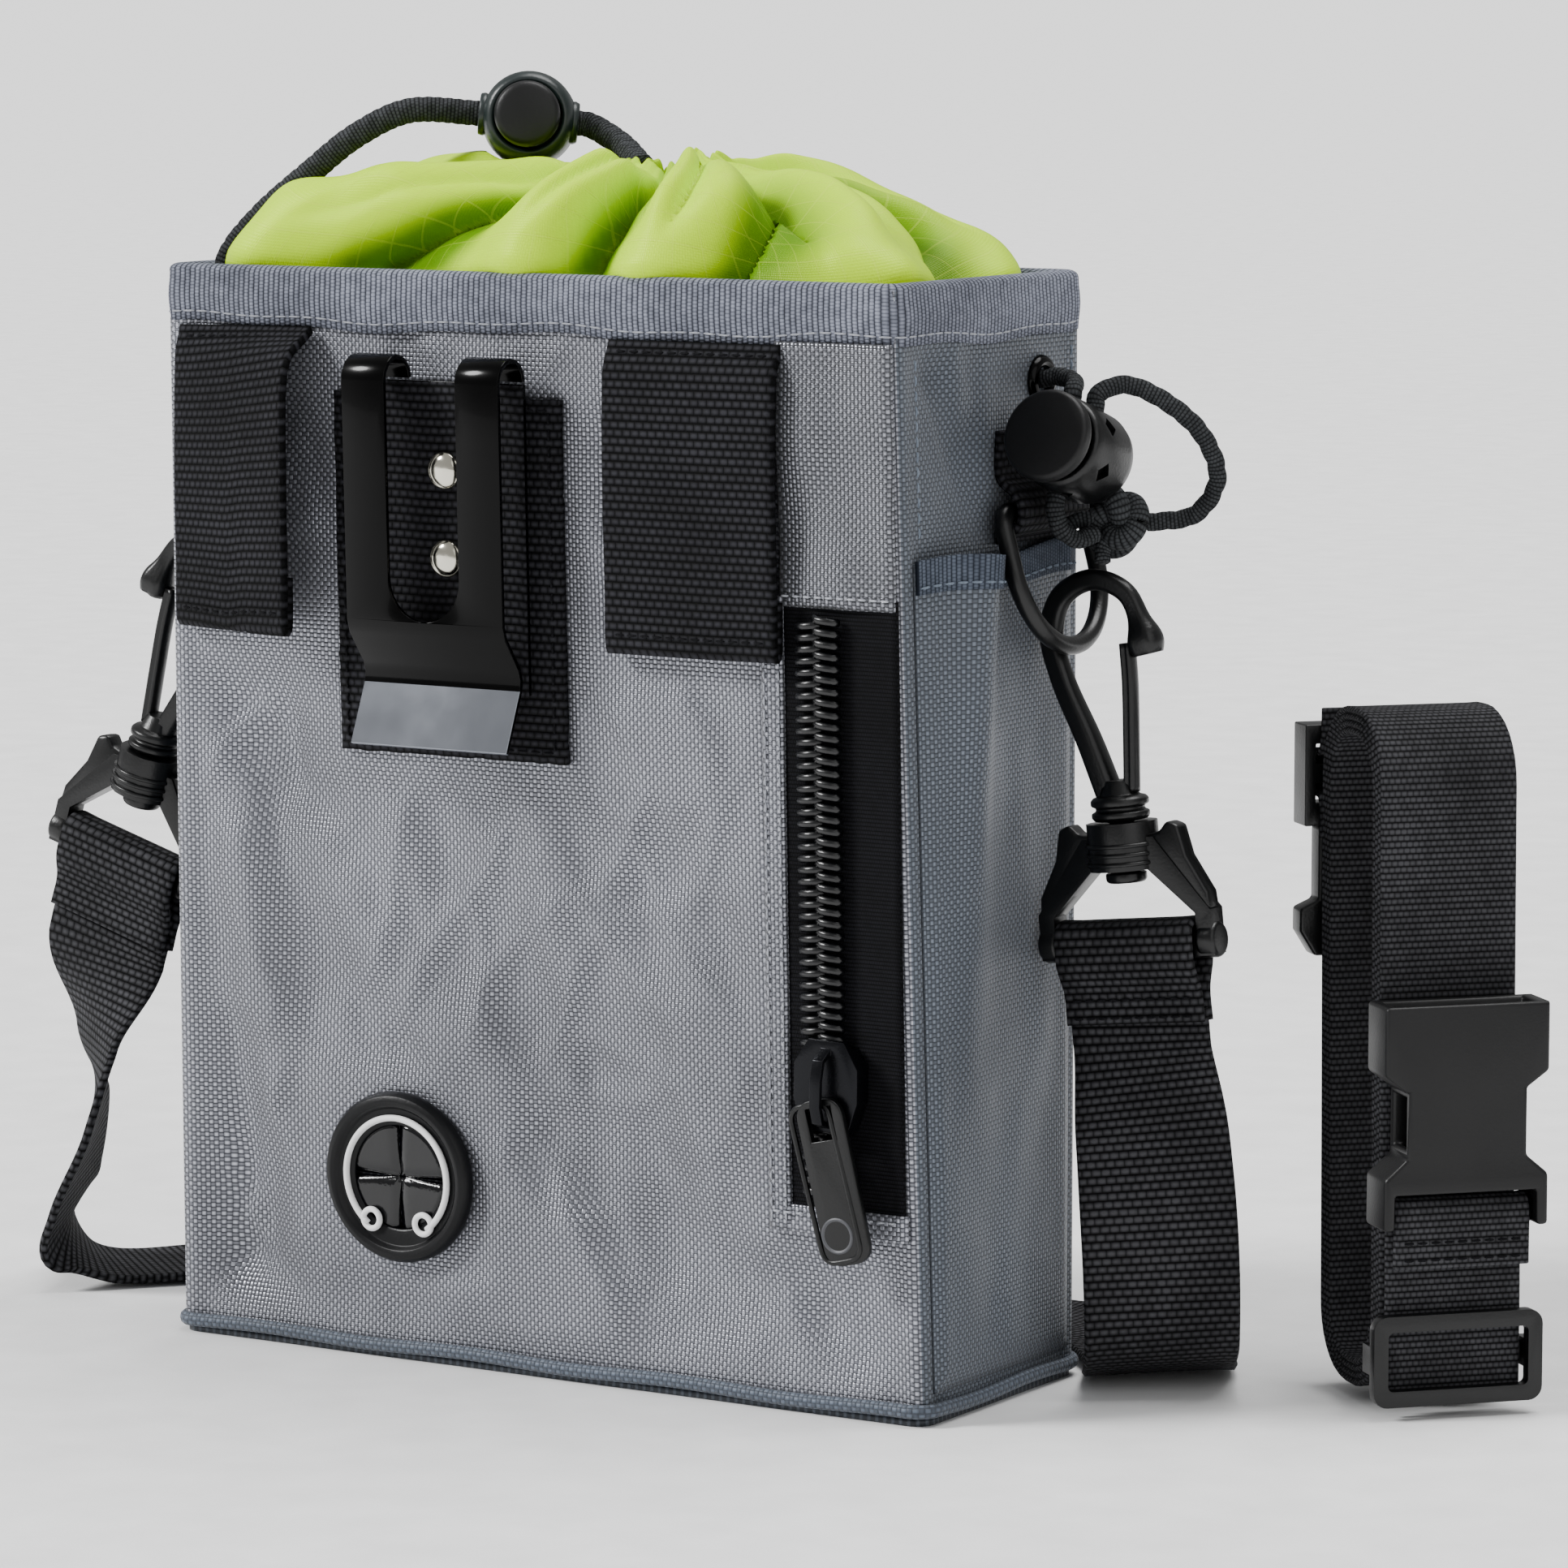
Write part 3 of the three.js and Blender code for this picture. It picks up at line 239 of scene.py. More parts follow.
# the last argument sharpens the painted highlight on the crowns
def ribbed(name, dark, light, pitch_x, pitch_y, depth, roughness=0.75, highlight_power=2.5):
    """Webbing or tape: heavy ribs one way, crossed by finer threads; the crowns are coloured lighter,
    patchily at random, as a painted highlight.
    """
    material, tree, shader = new_material(name, Roughness=roughness, Specular_IOR_Level=0.1)
    x, y = weave_axes(tree, pitch_x, pitch_y)
    staggered = calc(tree, "MULTIPLY_ADD", calc(tree, "FLOOR", y), 0.5, x)
    bumps = calc(tree, "MULTIPLY_ADD", thread_profile(tree, staggered), 0.5, 0.5)
    ribs = calc(tree, "MULTIPLY", thread_profile(tree, y), bumps)
    crowns = calc(tree, "POWER", ribs, highlight_power)
    highlight_scatter = calc(tree, "MULTIPLY_ADD", clouds(tree, 0.0016, 2.0), 2.6, 0.5)
    uneven = calc(tree, "MULTIPLY", clouds(tree, 0.02, 4.0), highlight_scatter)
    # painted highlight: the rib crowns take the light colour, broken up at random
    crown_highlight = calc(tree, "MULTIPLY", crowns, calc(tree, "MULTIPLY_ADD", uneven, 0.8, 0.2))
    tree.links.new(blend_colours(tree, crown_highlight, dark, light), shader.inputs["Base Color"])
    raise_surface(tree, shader, ribs, depth)
    return material


def moulded(name, colour, roughness, grain=0.03, **values):
    """Moulded plastic or rubber: an even colour, a fine grain, and patches that shine a little more."""
    material, tree, shader = new_material(name, **values)
    shade = blend_colours(tree, clouds(tree, 0.015, 3.0), [c * 0.8 for c in colour[:3]] + [1], colour)
    tree.links.new(shade, shader.inputs["Base Color"])
    rough = calc(tree, "MULTIPLY_ADD", clouds(tree, 0.008, 4.0), 0.16, roughness - 0.08)
    tree.links.new(rough, shader.inputs["Roughness"])
    raise_surface(tree, shader, clouds(tree, 0.0005, 1.0), grain)
    return material


def nylon(name, colour, shade):
    """Thin lime lining cloth with a faint ripstop grid, darkened towards the shade colour in the creases of
    its folds: painted shade.
    """
    material, tree, shader = new_material(name, Roughness=0.36, Specular_IOR_Level=0.3,
                                          Specular_Tint=rgb(215, 250, 40))
    fine, _ = plain_weave(tree, 0.45, 0.45)
    x, y = weave_axes(tree, 5.2, 5.2)
    line = [calc(tree, "LESS_THAN", calc(tree, "FRACT", axis), 0.07) for axis in (x, y)]
    grid_line = calc(tree, "MAXIMUM", *line)
    open_cloth = blend_colours(tree, clouds(tree, 0.03, 3.0), colour, [c * 0.88 for c in colour[:3]] + [1])
    # painted shade: deep in a fold's crease the colour goes to the darker shade colour
    base = blend_colours(tree, painted_fold_shade(tree), open_cloth, shade)
    pale = blend_colours(tree, calc(tree, "MULTIPLY", grid_line, 0.14), base, rgb(215, 235, 90))
    tree.links.new(pale, shader.inputs["Base Color"])
    threads = calc(tree, "MULTIPLY", fine, 0.4)
    raise_surface(tree, shader, calc(tree, "MULTIPLY_ADD", grid_line, 0.6, threads), 0.1)
    return material


# the second colour of each cloth is the painted highlight on its raised threads
FACE_CLOTH = oxford("face_cloth", rgb(32, 34, 41), rgb(178, 180, 190), 0.6, 0.3)
SHINY_CLOTH = oxford("shiny_cloth", rgb(22, 24, 28), rgb(160, 162, 171), 0.68, 0.24)
GUSSET_CLOTH = oxford("gusset_cloth", rgb(36, 41, 48), rgb(110, 118, 130), 0.25, 0.46)
PIPING_CLOTH = oxford("piping_cloth", rgb(44, 50, 60), rgb(92, 102, 116), 0.1, 0.6, 0.9)
# the second colour of each webbing, tape and cord is the painted highlight on its rib crowns
RIM_TAPE = ribbed("rim_tape", rgb(24, 26, 33), rgb(134, 138, 152), 0.62, 1.12, 0.3, highlight_power=1.4)
HEM_TAPE = ribbed("hem_tape", rgb(30, 34, 42), rgb(88, 95, 107), 0.6, 0.8, 0.2, highlight_power=1.4)
# the second colour is the painted shade in the collar's creases
LIME_NYLON = nylon("lime_nylon", rgb(196, 242, 0), rgb(84, 128, 0))
BLACK_WEBBING = ribbed("black_webbing", rgb(3, 3, 4), rgb(48, 48, 52), 1.7, 1.43, 0.5, highlight_power=3.0)
STRAP_WEBBING = ribbed("strap_webbing", rgb(6, 6, 7), rgb(68, 68, 71), 1.7, 1.43, 0.5, highlight_power=2.6)
BELT_WEBBING = ribbed("belt_webbing", rgb(7, 7, 8), rgb(70, 70, 73), 1.1, 1.1, 0.25, highlight_power=2.2)
ZIP_TAPE = ribbed("zip_tape", rgb(3, 3, 4), rgb(26, 26, 30), 0.5, 0.7, 0.12)
BLACK_CORD = ribbed("black_cord", rgb(3, 3, 4), rgb(64, 66, 68), 0.7, 0.7, 0.15, highlight_power=1.6)
BLACK_PLASTIC = moulded("black_plastic", rgb(9, 10, 11), 0.34, Specular_IOR_Level=0.4)
MATT_PLASTIC = moulded("matt_plastic", rgb(9, 9, 11), 0.46, Specular_IOR_Level=0.35)
TOGGLE_PLASTIC = moulded("toggle_plastic", rgb(26, 36, 36), 0.36)
BLACK_RUBBER = moulded("black_rubber", rgb(6, 7, 11), 0.4, Specular_IOR_Level=0.25)
BLACK_STEEL = moulded("black_steel", rgb(2, 2, 3), 0.18, 0.002, Specular_IOR_Level=0.1, Coat_Weight=0.06,
                      Coat_Roughness=0.05)
GLOSS_RUBBER = moulded("gloss_rubber", rgb(7, 7, 12), 0.14)
ZIP_TEETH = moulded("zip_teeth", rgb(9, 10, 13), 0.3)
ZIP_METAL = moulded("zip_metal", rgb(20, 21, 25), 0.28, 0.02, Metallic=0.7)
PULL_DISC = moulded("pull_disc", rgb(72, 73, 77), 0.5)
# the clip's lower lip: a light steel colour on the black clip that stands in for its reflection, a painted
# reflection
LIP_PAINTED_REFLECTION = moulded("lip_painted_reflection", rgb(150, 154, 162), 0.24, 0.0, Metallic=0.9)
BARE_STEEL = moulded("bare_steel", rgb(226, 222, 206), 0.16, 0.01, Metallic=1.0)
WHITE_PRINT = moulded("white_print", rgb(244, 244, 244), 0.5)
# the second colour of each thread is the painted highlight on its crowns
WHITE_THREAD = ribbed("white_thread", rgb(150, 154, 166), rgb(232, 234, 240), 0.3, 0.3, 0.05)
GREY_THREAD = ribbed("grey_thread", rgb(96, 108, 124), rgb(170, 182, 198), 0.3, 0.3, 0.05)
BLACK_THREAD = ribbed("black_thread", rgb(4, 4, 5), rgb(44, 44, 48), 0.3, 0.3, 0.05)


# ---- mesh helpers ----
def turn_outwards(mesh):
    shape = bmesh.new()
    shape.from_mesh(mesh)
    bmesh.ops.recalc_face_normals(shape, faces=shape.faces)
    shape.to_mesh(mesh)
    shape.free()


def make_piece(name, points, faces, finishes, body="pouch", replaces=(), weave=None, slots=None, parent=True,
               hollows=None):
    """A mesh object from millimetre points.

    weave is one list of (x, y) millimetres per face.
    The last argument gives each point's painted crease shade: how deep in a fold it lies, 0 to 1.
    """
    mesh = bpy.data.meshes.new(name)
    mesh.from_pydata([Vector(p) * MM for p in points], [], faces)
    for finish in finishes if isinstance(finishes, (list, tuple)) else [finishes]:
        mesh.materials.append(finish)
    layer = mesh.uv_layers.new(name="weave")
    if weave:
        flat = [pair for face in weave for pair in face]
        for corner, (x, y) in zip(layer.data, flat):
            corner.uv = (x / CM, y / CM)
    # a layer of painted shade for the creases of folds
    if hollows:
        depth = mesh.uv_layers.new(name="hollows")
        for corner, loop in zip(depth.data, mesh.loops):
            corner.uv = (hollows[loop.vertex_index], 0)
    if slots:
        mesh.polygons.foreach_set("material_index", slots)
    mesh.polygons.foreach_set("use_smooth", [True] * len(mesh.polygons))
    mesh.validate()
    turn_outwards(mesh)
    piece = bpy.data.objects.new(name, mesh)
    bpy.context.scene.collection.objects.link(piece)
    if parent:
        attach(piece, body)
    if replaces:
        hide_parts(*([replaces] if isinstance(replaces, str) else replaces))
    return piece


def settle(piece):
    """Makes the piece's modifiers part of its mesh."""
    graph = bpy.context.evaluated_depsgraph_get()
    final = bpy.data.meshes.new_from_object(piece.evaluated_get(graph))
    piece.modifiers.clear()
    piece.data = final
    return piece


def thicken(piece, thick, offset=-1.0):
    """Gives a surface a thickness in millimetres, inwards by default."""
    solid = piece.modifiers.new("thickness", "SOLIDIFY")
    solid.thickness = thick * MM
    solid.offset = offset
    solid.use_even_offset = False
    return settle(piece)


def thicken_behind(piece, thick, outwards):
    """Gives a surface a thickness on its far side from the outwards direction."""
    facing_out = piece.data.polygons[0].normal.dot(outwards) > 0
    return thicken(piece, thick, offset=-1 if facing_out else 1)


def round_edges(piece, width, segments=2, angle=32):
    """Rounds a hard piece's sharp edges and shades the rest smooth."""
    edge = piece.modifiers.new("edges", "BEVEL")
    edge.width = width * MM
    edge.segments = segments
    edge.limit_method = "ANGLE"
    edge.angle_limit = math.radians(angle)
    edge.use_clamp_overlap = True
    settle(piece)
    piece.data.polygons.foreach_set("use_smooth", [True] * len(piece.data.polygons))
    piece.data.set_sharp_from_angle(angle=math.radians(50))
    return piece


def grid(columns, rows, place, weave, wrap=False, flip=False):
    """Points, faces and weave of the surface place(i, j), over whole numbers up to columns and rows."""
    across = columns if wrap else columns + 1
    points = [place(i, j) for i in range(across) for j in range(rows + 1)]
    faces = []
    cells = []
    for i in range(columns):
        for j in range(rows):
            ring = [(i, j), (i + 1, j), (i + 1, j + 1), (i, j + 1)]
            if flip:
                ring.reverse()
            faces.append([(a % across) * (rows + 1) + b for a, b in ring])
            cells.append([weave(a, b) for a, b in ring])
    return points, faces, cells


def sweep(stops, section, closed=False):
    """Carries a closed section along stops of (origin, across, up, length so far).

    section may also be a function that gives one from the share of the way.
    """
    total = len(stops)
    sections = [section(k / (total - 1)) if callable(section) else section for k in range(total)]
    section = sections[0]
    count = len(section)
    points = []
    for (origin, across, up, _), shape in zip(stops, sections):
        for a, b in shape:
            points.append(origin + across * a + up * b)
    rim = [0.0]
    for k in range(count):
        a, b = section[k], section[(k + 1) % count]
        rim.append(rim[-1] + math.hypot(b[0] - a[0], b[1] - a[1]))
    faces = []
    cells = []
    for i in range(total if closed else total - 1):
        near, far = i * count, ((i + 1) % total) * count
        start = stops[i][3]
        end = stops[i + 1][3] if i + 1 < total else start + (stops[i][3] - stops[i - 1][3])
        for k in range(count):
            after = (k + 1) % count
            faces.append([near + k, near + after, far + after, far + k])
            cells.append([(rim[k], start), (rim[k + 1], start), (rim[k + 1], end), (rim[k], end)])
    if not closed:
        last = (total - 1) * count
        faces.append(list(range(count))[::-1])
        cells.append([section[k] for k in range(count)][::-1])
        faces.append([last + k for k in range(count)])
        cells.append([section[k] for k in range(count)])
    return points, faces, cells


def spline(points, steps, closed=False):
    """A centripetal Catmull-Rom curve through the points, at even lengths."""
    points = [Vector(p) for p in points]
    count = len(points)
    fine = []
    spans = count if closed else count - 1
    for k in range(spans):
        if closed:
            p0, p1, p2, p3 = (points[(k + d) % count] for d in (-1, 0, 1, 2))
        else:
            p1, p2 = points[k], points[k + 1]
            p0 = points[k - 1] if k else p1 * 2 - p2
            p3 = points[k + 2] if k + 2 < count else p2 * 2 - p1
        gaps = [max((b - a).length, 1e-4) ** 0.5 for a, b in ((p0, p1), (p1, p2), (p2, p3))]
        start = ((p1 - p0) / gaps[0] - (p2 - p0) / (gaps[0] + gaps[1]) + (p2 - p1) / gaps[1]) * gaps[1]
        end = ((p2 - p1) / gaps[1] - (p3 - p1) / (gaps[1] + gaps[2]) + (p3 - p2) / gaps[2]) * gaps[1]
        for m in range(16):
            t = m / 16
            square, cube = t * t, t * t * t
            fine.append(p1 * (2 * cube - 3 * square + 1) + start * (cube - 2 * square + t)
                        + p2 * (3 * square - 2 * cube) + end * (cube - square))
    fine.append(points[0] if closed else points[-1])
    lengths = [0.0]
    for a, b in zip(fine, fine[1:]):
        lengths.append(lengths[-1] + (b - a).length)
    even = []
    k = 0
    for m in range(steps + 1):
        goal = lengths[-1] * m / steps
        while k < len(fine) - 2 and lengths[k + 1] < goal:
            k += 1
        share = (goal - lengths[k]) / max(lengths[k + 1] - lengths[k], 1e-9)
        even.append(fine[k].lerp(fine[k + 1], min(share, 1.0)))
    return even[:-1] if closed else even


def path_length(points):
    return sum((b - a).length for a, b in zip(points, points[1:]))


def directions(points, closed=False):
    count = len(points)
    found = []
    for k in range(count):
        before = points[k - 1] if k or closed else points[k]
        after = points[(k + 1) % count] if k + 1 < count or closed else points[k]
        found.append((after - before).normalized())
    return found


def carried_stops(points, closed=False, up=None):
    """Stops for sweep: the cross axes are carried along, or kept to a fixed up direction."""
    tangents = directions(points, closed)
    side = tangents[0].orthogonal().normalized()
    travelled = 0.0
    stops = []
    for k, (point, tangent) in enumerate(zip(points, tangents)):
        if up is not None:
            side = up.cross(tangent).normalized()
        else:
            side = (side - tangent * side.dot(tangent)).normalized()
        if k:
            travelled += (point - points[k - 1]).length
        stops.append((point, side, tangent.cross(side), travelled))
    return stops


def round_section(width, height, sides=12):
    return [(width * math.cos(2 * math.pi * k / sides), height * math.sin(2 * math.pi * k / sides))
            for k in range(sides)]


def band_section(width, thick, columns=8):
    """A webbing's cross-section: flat, with selvedges a little thicker than the rest."""
    half = width / 2
    xs = [lerp(-half + 0.5, half - 0.5, k / columns) for k in range(columns + 1)]
    rise = [thick / 2 * (1.12 if k in (0, columns) else 0.94) for k in range(columns + 1)]
    lower = [(x, -h) for x, h in zip(xs, rise)]
    upper = [(x, h) for x, h in zip(reversed(xs), reversed(rise))]
    return [(-half, 0.0)] + lower + [(half, 0.0)] + upper


def tube_piece(name, points, width, finish, height=None, sides=12, closed=False, **facts):
    section = round_section(width, height or width, sides)
    points, faces, cells = sweep(carried_stops(points, closed), section, closed)
    return make_piece(name, points, faces, finish, weave=cells, **facts)


def band_stops(stops, steps):
    """Stops of a band from [x, y, z, across x, y, z] rows, as in the CAD."""
    path = spline([s[:3] for s in stops], steps)
    lengths = [0.0]
    for a, b in zip(stops, stops[1:]):
        lengths.append(lengths[-1] + (Vector(b[:3]) - Vector(a[:3])).length)
    found = []
    travelled = 0.0
    for k, (point, tangent) in enumerate(zip(path, directions(path))):
        if k:
            travelled += (point - path[k - 1]).length
        goal = lengths[-1] * k / steps
        span = max(i for i in range(len(stops) - 1) if lengths[i] <= goal + 1e-6)
        share = ease((goal - lengths[span]) / (lengths[span + 1] - lengths[span])) * 0.5
        share += 0.5 * (goal - lengths[span]) / (lengths[span + 1] - lengths[span])
        across = Vector(stops[span][3:]).lerp(Vector(stops[span + 1][3:]), share).normalized()
        across = (across - tangent * across.dot(tangent)).normalized()
        found.append((point, across, tangent.cross(across), travelled))
    return found


def strip_stops(points, across):
    """Stops of a band that bends in one plane, from its own corner points."""
    across = Vector(across)
    travelled = 0.0
    found = []
    for k, (point, tangent) in enumerate(zip(points, directions(points))):
        if k:
            travelled += (point - points[k - 1]).length
        found.append((point, across, tangent.cross(across).normalized(), travelled))
    return found


def webbing_piece(name, stops, width, thick, finish=None, columns=8, **facts):
    points, faces, cells = sweep(stops, band_section(width, thick, columns))
    return make_piece(name, points, faces, finish or BLACK_WEBBING, weave=cells, **facts)


def turned_piece(name, profile, place, finish, segments=48, edge=0.25, **facts):
    """A turned piece from [radius, height] rows, moved by the matrix place."""
    closed_ring = min(r for r, _ in profile) > 1e-6
    rows = profile if closed_ring else profile[1:-1]
    points = []
    for r, h in rows:
        for k in range(segments):
            angle = 2 * math.pi * k / segments
            points.append(place @ Vector((r * math.cos(angle), r * math.sin(angle), h)))
    faces = []
    spans = len(rows) if closed_ring else len(rows) - 1
    for j in range(spans):
        near, far = j * segments, ((j + 1) % len(rows)) * segments
        for k in range(segments):
            after = (k + 1) % segments
            faces.append([near + k, near + after, far + after, far + k])
    if not closed_ring:
        faces.append(list(range(segments))[::-1])
        faces.append([(len(rows) - 1) * segments + k for k in range(segments)])
    piece = make_piece(name, points, faces, finish, **facts)
    return round_edges(piece, edge) if edge else piece


def refined_piece(name, node, finish, edge=0.35, segments=2, **facts):
    """A copy of a CAD node with rounded edges, in its place."""
    source = frame["nodes"][node].data
    body = facts.pop("body", frame["nodes"][node]["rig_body"])
    merged, faces = merge_corners(source)
    piece = make_piece(name, merged, faces, finish, body=body, replaces=node, **facts)
    flat = piece.modifiers.new("flat", "DECIMATE")
    flat.decimate_type = "DISSOLVE"
    flat.angle_limit = math.radians(1.5)
    settle(piece)
    return round_edges(piece, edge, segments)


def merge_corners(mesh):
    """A mesh's points with doubles merged, in millimetres, and its faces."""
    seen = {}
    points = []
    index = []
    for vertex in mesh.vertices:
        key = tuple(round(c * 1e6) for c in vertex.co)
        if key not in seen:
            seen[key] = len(points)
            points.append(vertex.co / MM)
        index.append(seen[key])
    faces = [[index[v] for v in polygon.vertices] for polygon in mesh.polygons]
    return points, [face for face in faces if len(set(face)) == len(face)]


def plate_piece(name, outline, thick, place, finish, edge=0.3, **facts):
    """A flat plate from its outline in X-Z, with its thickness along Y, moved by place()."""
    count = len(outline)
    points = [place(x, side * thick / 2, z) for side in (-1, 1) for x, z in outline]
    faces = [list(range(count))[::-1], [count + k for k in range(count)]]
    for k in range(count):
        after = (k + 1) % count
        faces.append([k, after, count + after, count + k])
    piece = make_piece(name, points, faces, finish, **facts)
    return round_edges(piece, edge) if edge else piece


def stitch_piece(name, points, normals, pitch, finish, radius=0.22, share=0.68, **facts):
    """A row of stitches: short rounded threads along a line, lying on the surface."""
    length = path_length(points)
    count = max(2, round(length / pitch))
    even = spline(points, count * 4) if len(points) > 2 else [
        points[0].lerp(points[-1], k / (count * 4)) for k in range(count * 4 + 1)]
    all_points, all_faces = [], []
    for k in range(count):
        span = even[4 * k:4 * k + 5]
        start = span[0].lerp(span[-1], (1 - share) / 2)
        end = span[0].lerp(span[-1], (1 + share) / 2)
        normal = normals(start) if callable(normals) else normals
        thread = []
        for m in range(5):
            t = m / 4
            thread.append(start.lerp(end, t) + normal * (radius * 0.9 * math.sin(math.pi * t)))
        along = (end - start).normalized()
        side = along.cross(normal).normalized()
        first = len(all_points)
        for m, point in enumerate(thread):
            slim = radius * (0.55 if m in (0, 4) else 1.0)
            for s in range(6):
                angle = 2 * math.pi * s / 6
                all_points.append(point + side * (slim * math.cos(angle)) + normal * (slim * math.sin(angle)))
        for m in range(4):
            for s in range(6):
                after = (s + 1) % 6
                a = first + m * 6
                all_faces.append([a + s, a + after, a + 6 + after, a + 6 + s])
        all_faces.append([first + s for s in range(6)][::-1])
        all_faces.append([first + 24 + s for s in range(6)])
    return make_piece(name, all_points, all_faces, finish, **facts)


# ---- camera, lights and floor ----
CAMERA = {"place": (646.0, -994.0, 251.0), "yaw": 31.6, "pitch": -7.13, "lens": 152.8}


def build_camera():
    yaw, pitch = math.radians(CAMERA["yaw"]), math.radians(CAMERA["pitch"])
    look = Vector((-math.sin(yaw) * math.cos(pitch), math.cos(yaw) * math.cos(pitch), math.sin(pitch)))
    camera = bpy.data.objects.new("camera", bpy.data.cameras.new("camera"))
    camera.data.lens = CAMERA["lens"]
    camera.location = Vector(CAMERA["place"]) * MM
    camera.rotation_mode = "QUATERNION"
    camera.rotation_quaternion = look.to_track_quat("-Z", "Y")
    camera.data.clip_end = CAMERA_REACH_M
    bpy.context.scene.collection.objects.link(camera)
    bpy.context.scene.camera = camera


SUNS = {
    # where each light comes from, how wide it looks in degrees, and its strength
    "key": {"place": (-0.75, -0.62, 0.72), "wide": 16, "power": 4.2},
    "fill": {"place": (0.9, -0.55, 0.55), "wide": 50, "power": 0.6},
    "top": {"place": (0.15, 0.25, 1.0), "wide": 40, "power": 2.9},
}


def build_stage():
    for name, facts in SUNS.items():
        sun = bpy.data.objects.new(name, bpy.data.lights.new(name, "SUN"))
        sun.data.energy = facts["power"]
        sun.data.angle = math.radians(facts["wide"])
        sun.location = facts["place"]
        sun.rotation_mode = "QUATERNION"
        sun.rotation_quaternion = (-sun.location).to_track_quat("-Z", "Y")
        bpy.context.scene.collection.objects.link(sun)
    world = bpy.data.worlds.new("studio")
    world.use_nodes = True
    world.node_tree.nodes["Background"].inputs["Color"].default_value = (1, 1, 1, 1)
    world.node_tree.nodes["Background"].inputs["Strength"].default_value = 0.4
    bpy.context.scene.world = world

    floor_points = [(sx * FLOOR_REACH, sy * FLOOR_REACH, -FLOOR_GAP)
                    for sx, sy in ((-1, -1), (1, -1), (1, 1), (-1, 1))]
    floor_finish = moulded("floor", (0.9, 0.9, 0.9, 1), 0.7)
    make_piece("floor", floor_points, [[0, 1, 2, 3]], floor_finish, parent=False)


# ---- cords ----
TOGGLE = Vector((-23.0, 6.0, 221.2))
TOGGLE_OUT = Vector((0.52, -0.845, 0.12)).normalized()
TOGGLE_WAY = Vector((7.7, 4.8, -0.9)).normalized()
TOGGLE_HOLE = 1.6
SIDE_LOCK = Vector((88.4, 8.8, 165.4))
SIDE_HOLE = 0.4
COLLAR_CORD_R = 2.3
CORD_R = 1.65
CORD_STEP = 0.6
KNOT = Vector((91.5, 17.0, 153.0))

COLLAR_ROUTE = [
    (3, 3, 213.2), (-6, 9.5, 217),
    *[TOGGLE + TOGGLE_WAY * along for along in (10.5, 8, 4, 0, -4, -8, -10.5)],
    (-41, -6, 222.6), (-49, -11, 218.2), (-56, -15, 211.8), (-64, -20, 203.5), (-68.6, -23, 196.5),
                (-69.6, -24, 190),
]


def lock_way(x, along):
    """A point of a cord in the side lock's hole, x beside its middle."""
    return SIDE_LOCK + Vector((x, -0.95 * SIDE_HOLE + 0.31 * along, 0.31 * SIDE_HOLE + 0.95 * along))


STRAIGHT_ROUTE = [
    (76.2, 17, 177), (79.6, 17.2, 177.6), (83.6, 16, 177),
    *[lock_way(-2.4, along) for along in (10.5, 8, 4, 0, -4, -8, -9.6)],
    (86.6, 6.2, 152.3), (88.4, 9.2, 150.2), (90.4, 12.4, 151.2),
]
LOOP_ROUTE = [
    *[lock_way(2.4, along) for along in (0, 4, 8, 10)], (94, 15, 176.8), (99, 18, 174.8), (105.5, 22, 168.5),
    (107.5, 24.5, 160.5), (103.5, 24, 154.2), (96, 19.9, 152.6),
]


def braided_tube(path, radius, strands=3, lay=3.6, sides=24):
    """A cord with two sets of crossing strands that stand a little out of it."""
    stops = carried_stops(path)
    points = []
    for origin, across, up, travelled in stops:
        for k in range(sides):
            turn = k / sides
            left = abs(math.sin(math.pi * (strands * turn + travelled / lay)))
            right = abs(math.sin(math.pi * (strands * turn - travelled / lay)))
            reach = radius * (0.8 + 0.21 * max(left, right) ** 1.5)
            angle = 2 * math.pi * turn
            points.append(origin + across * (reach * math.cos(angle)) + up * (reach * math.sin(angle)))
    _, faces, cells = sweep(stops, round_section(radius, radius, sides))
    return points, faces, cells


def cord_piece(name, route, radius, replaces):
    rough = spline(route, 60)
    path = spline(route, round(path_length(rough) / CORD_STEP))
    points, faces, cells = braided_tube(path, radius)
    piece = make_piece(name, points, faces, BLACK_CORD, weave=cells, replaces=replaces)
    path_length(path) * MM
    return path


def build_cords():
    knot_path = []
    for k in range(120):
        t = 2 * math.pi * k / 120
        ring = 3.0 + 1.35 * math.cos(3 * t)
        knot_path.append(KNOT + Vector((ring * math.cos(2 * t), 1.7 * math.sin(3 * t),
                                        ring * math.sin(2 * t) * 1.15)))
    knot_path = spline(knot_path, 110, closed=True)
    stops = carried_stops(knot_path, closed=True)
    points, faces, cells = sweep(stops, round_section(CORD_R * 1.25, CORD_R * 1.25, 14), closed=True)
    knot = make_piece("side_cord_knot_wound", points, faces, BLACK_CORD, weave=cells,
                      replaces="side_cord_knot")
    for name, route in {
        "upper": [(88.6, 14.6, 153.5), (86, 12.5, 153), (84, 10.4, 150.8)],
        "lower": [(91.5, 15.4, 150.4), (90.6, 14.2, 147.8), (91, 13.6, 145.9)],
    }.items():
        points, faces, cells = braided_tube(spline(route, 14), CORD_R * 0.85)
        make_piece(f"side_cord_tail_{name}", points, faces, BLACK_CORD, weave=cells)
    cord_piece("side_cord_run", STRAIGHT_ROUTE, CORD_R, "side_cord_straight")
    cord_piece("side_cord_bow", LOOP_ROUTE[::-1], CORD_R, "side_cord_loop")
    return cord_piece("collar_cord_run", COLLAR_ROUTE, COLLAR_CORD_R, "collar_cord")


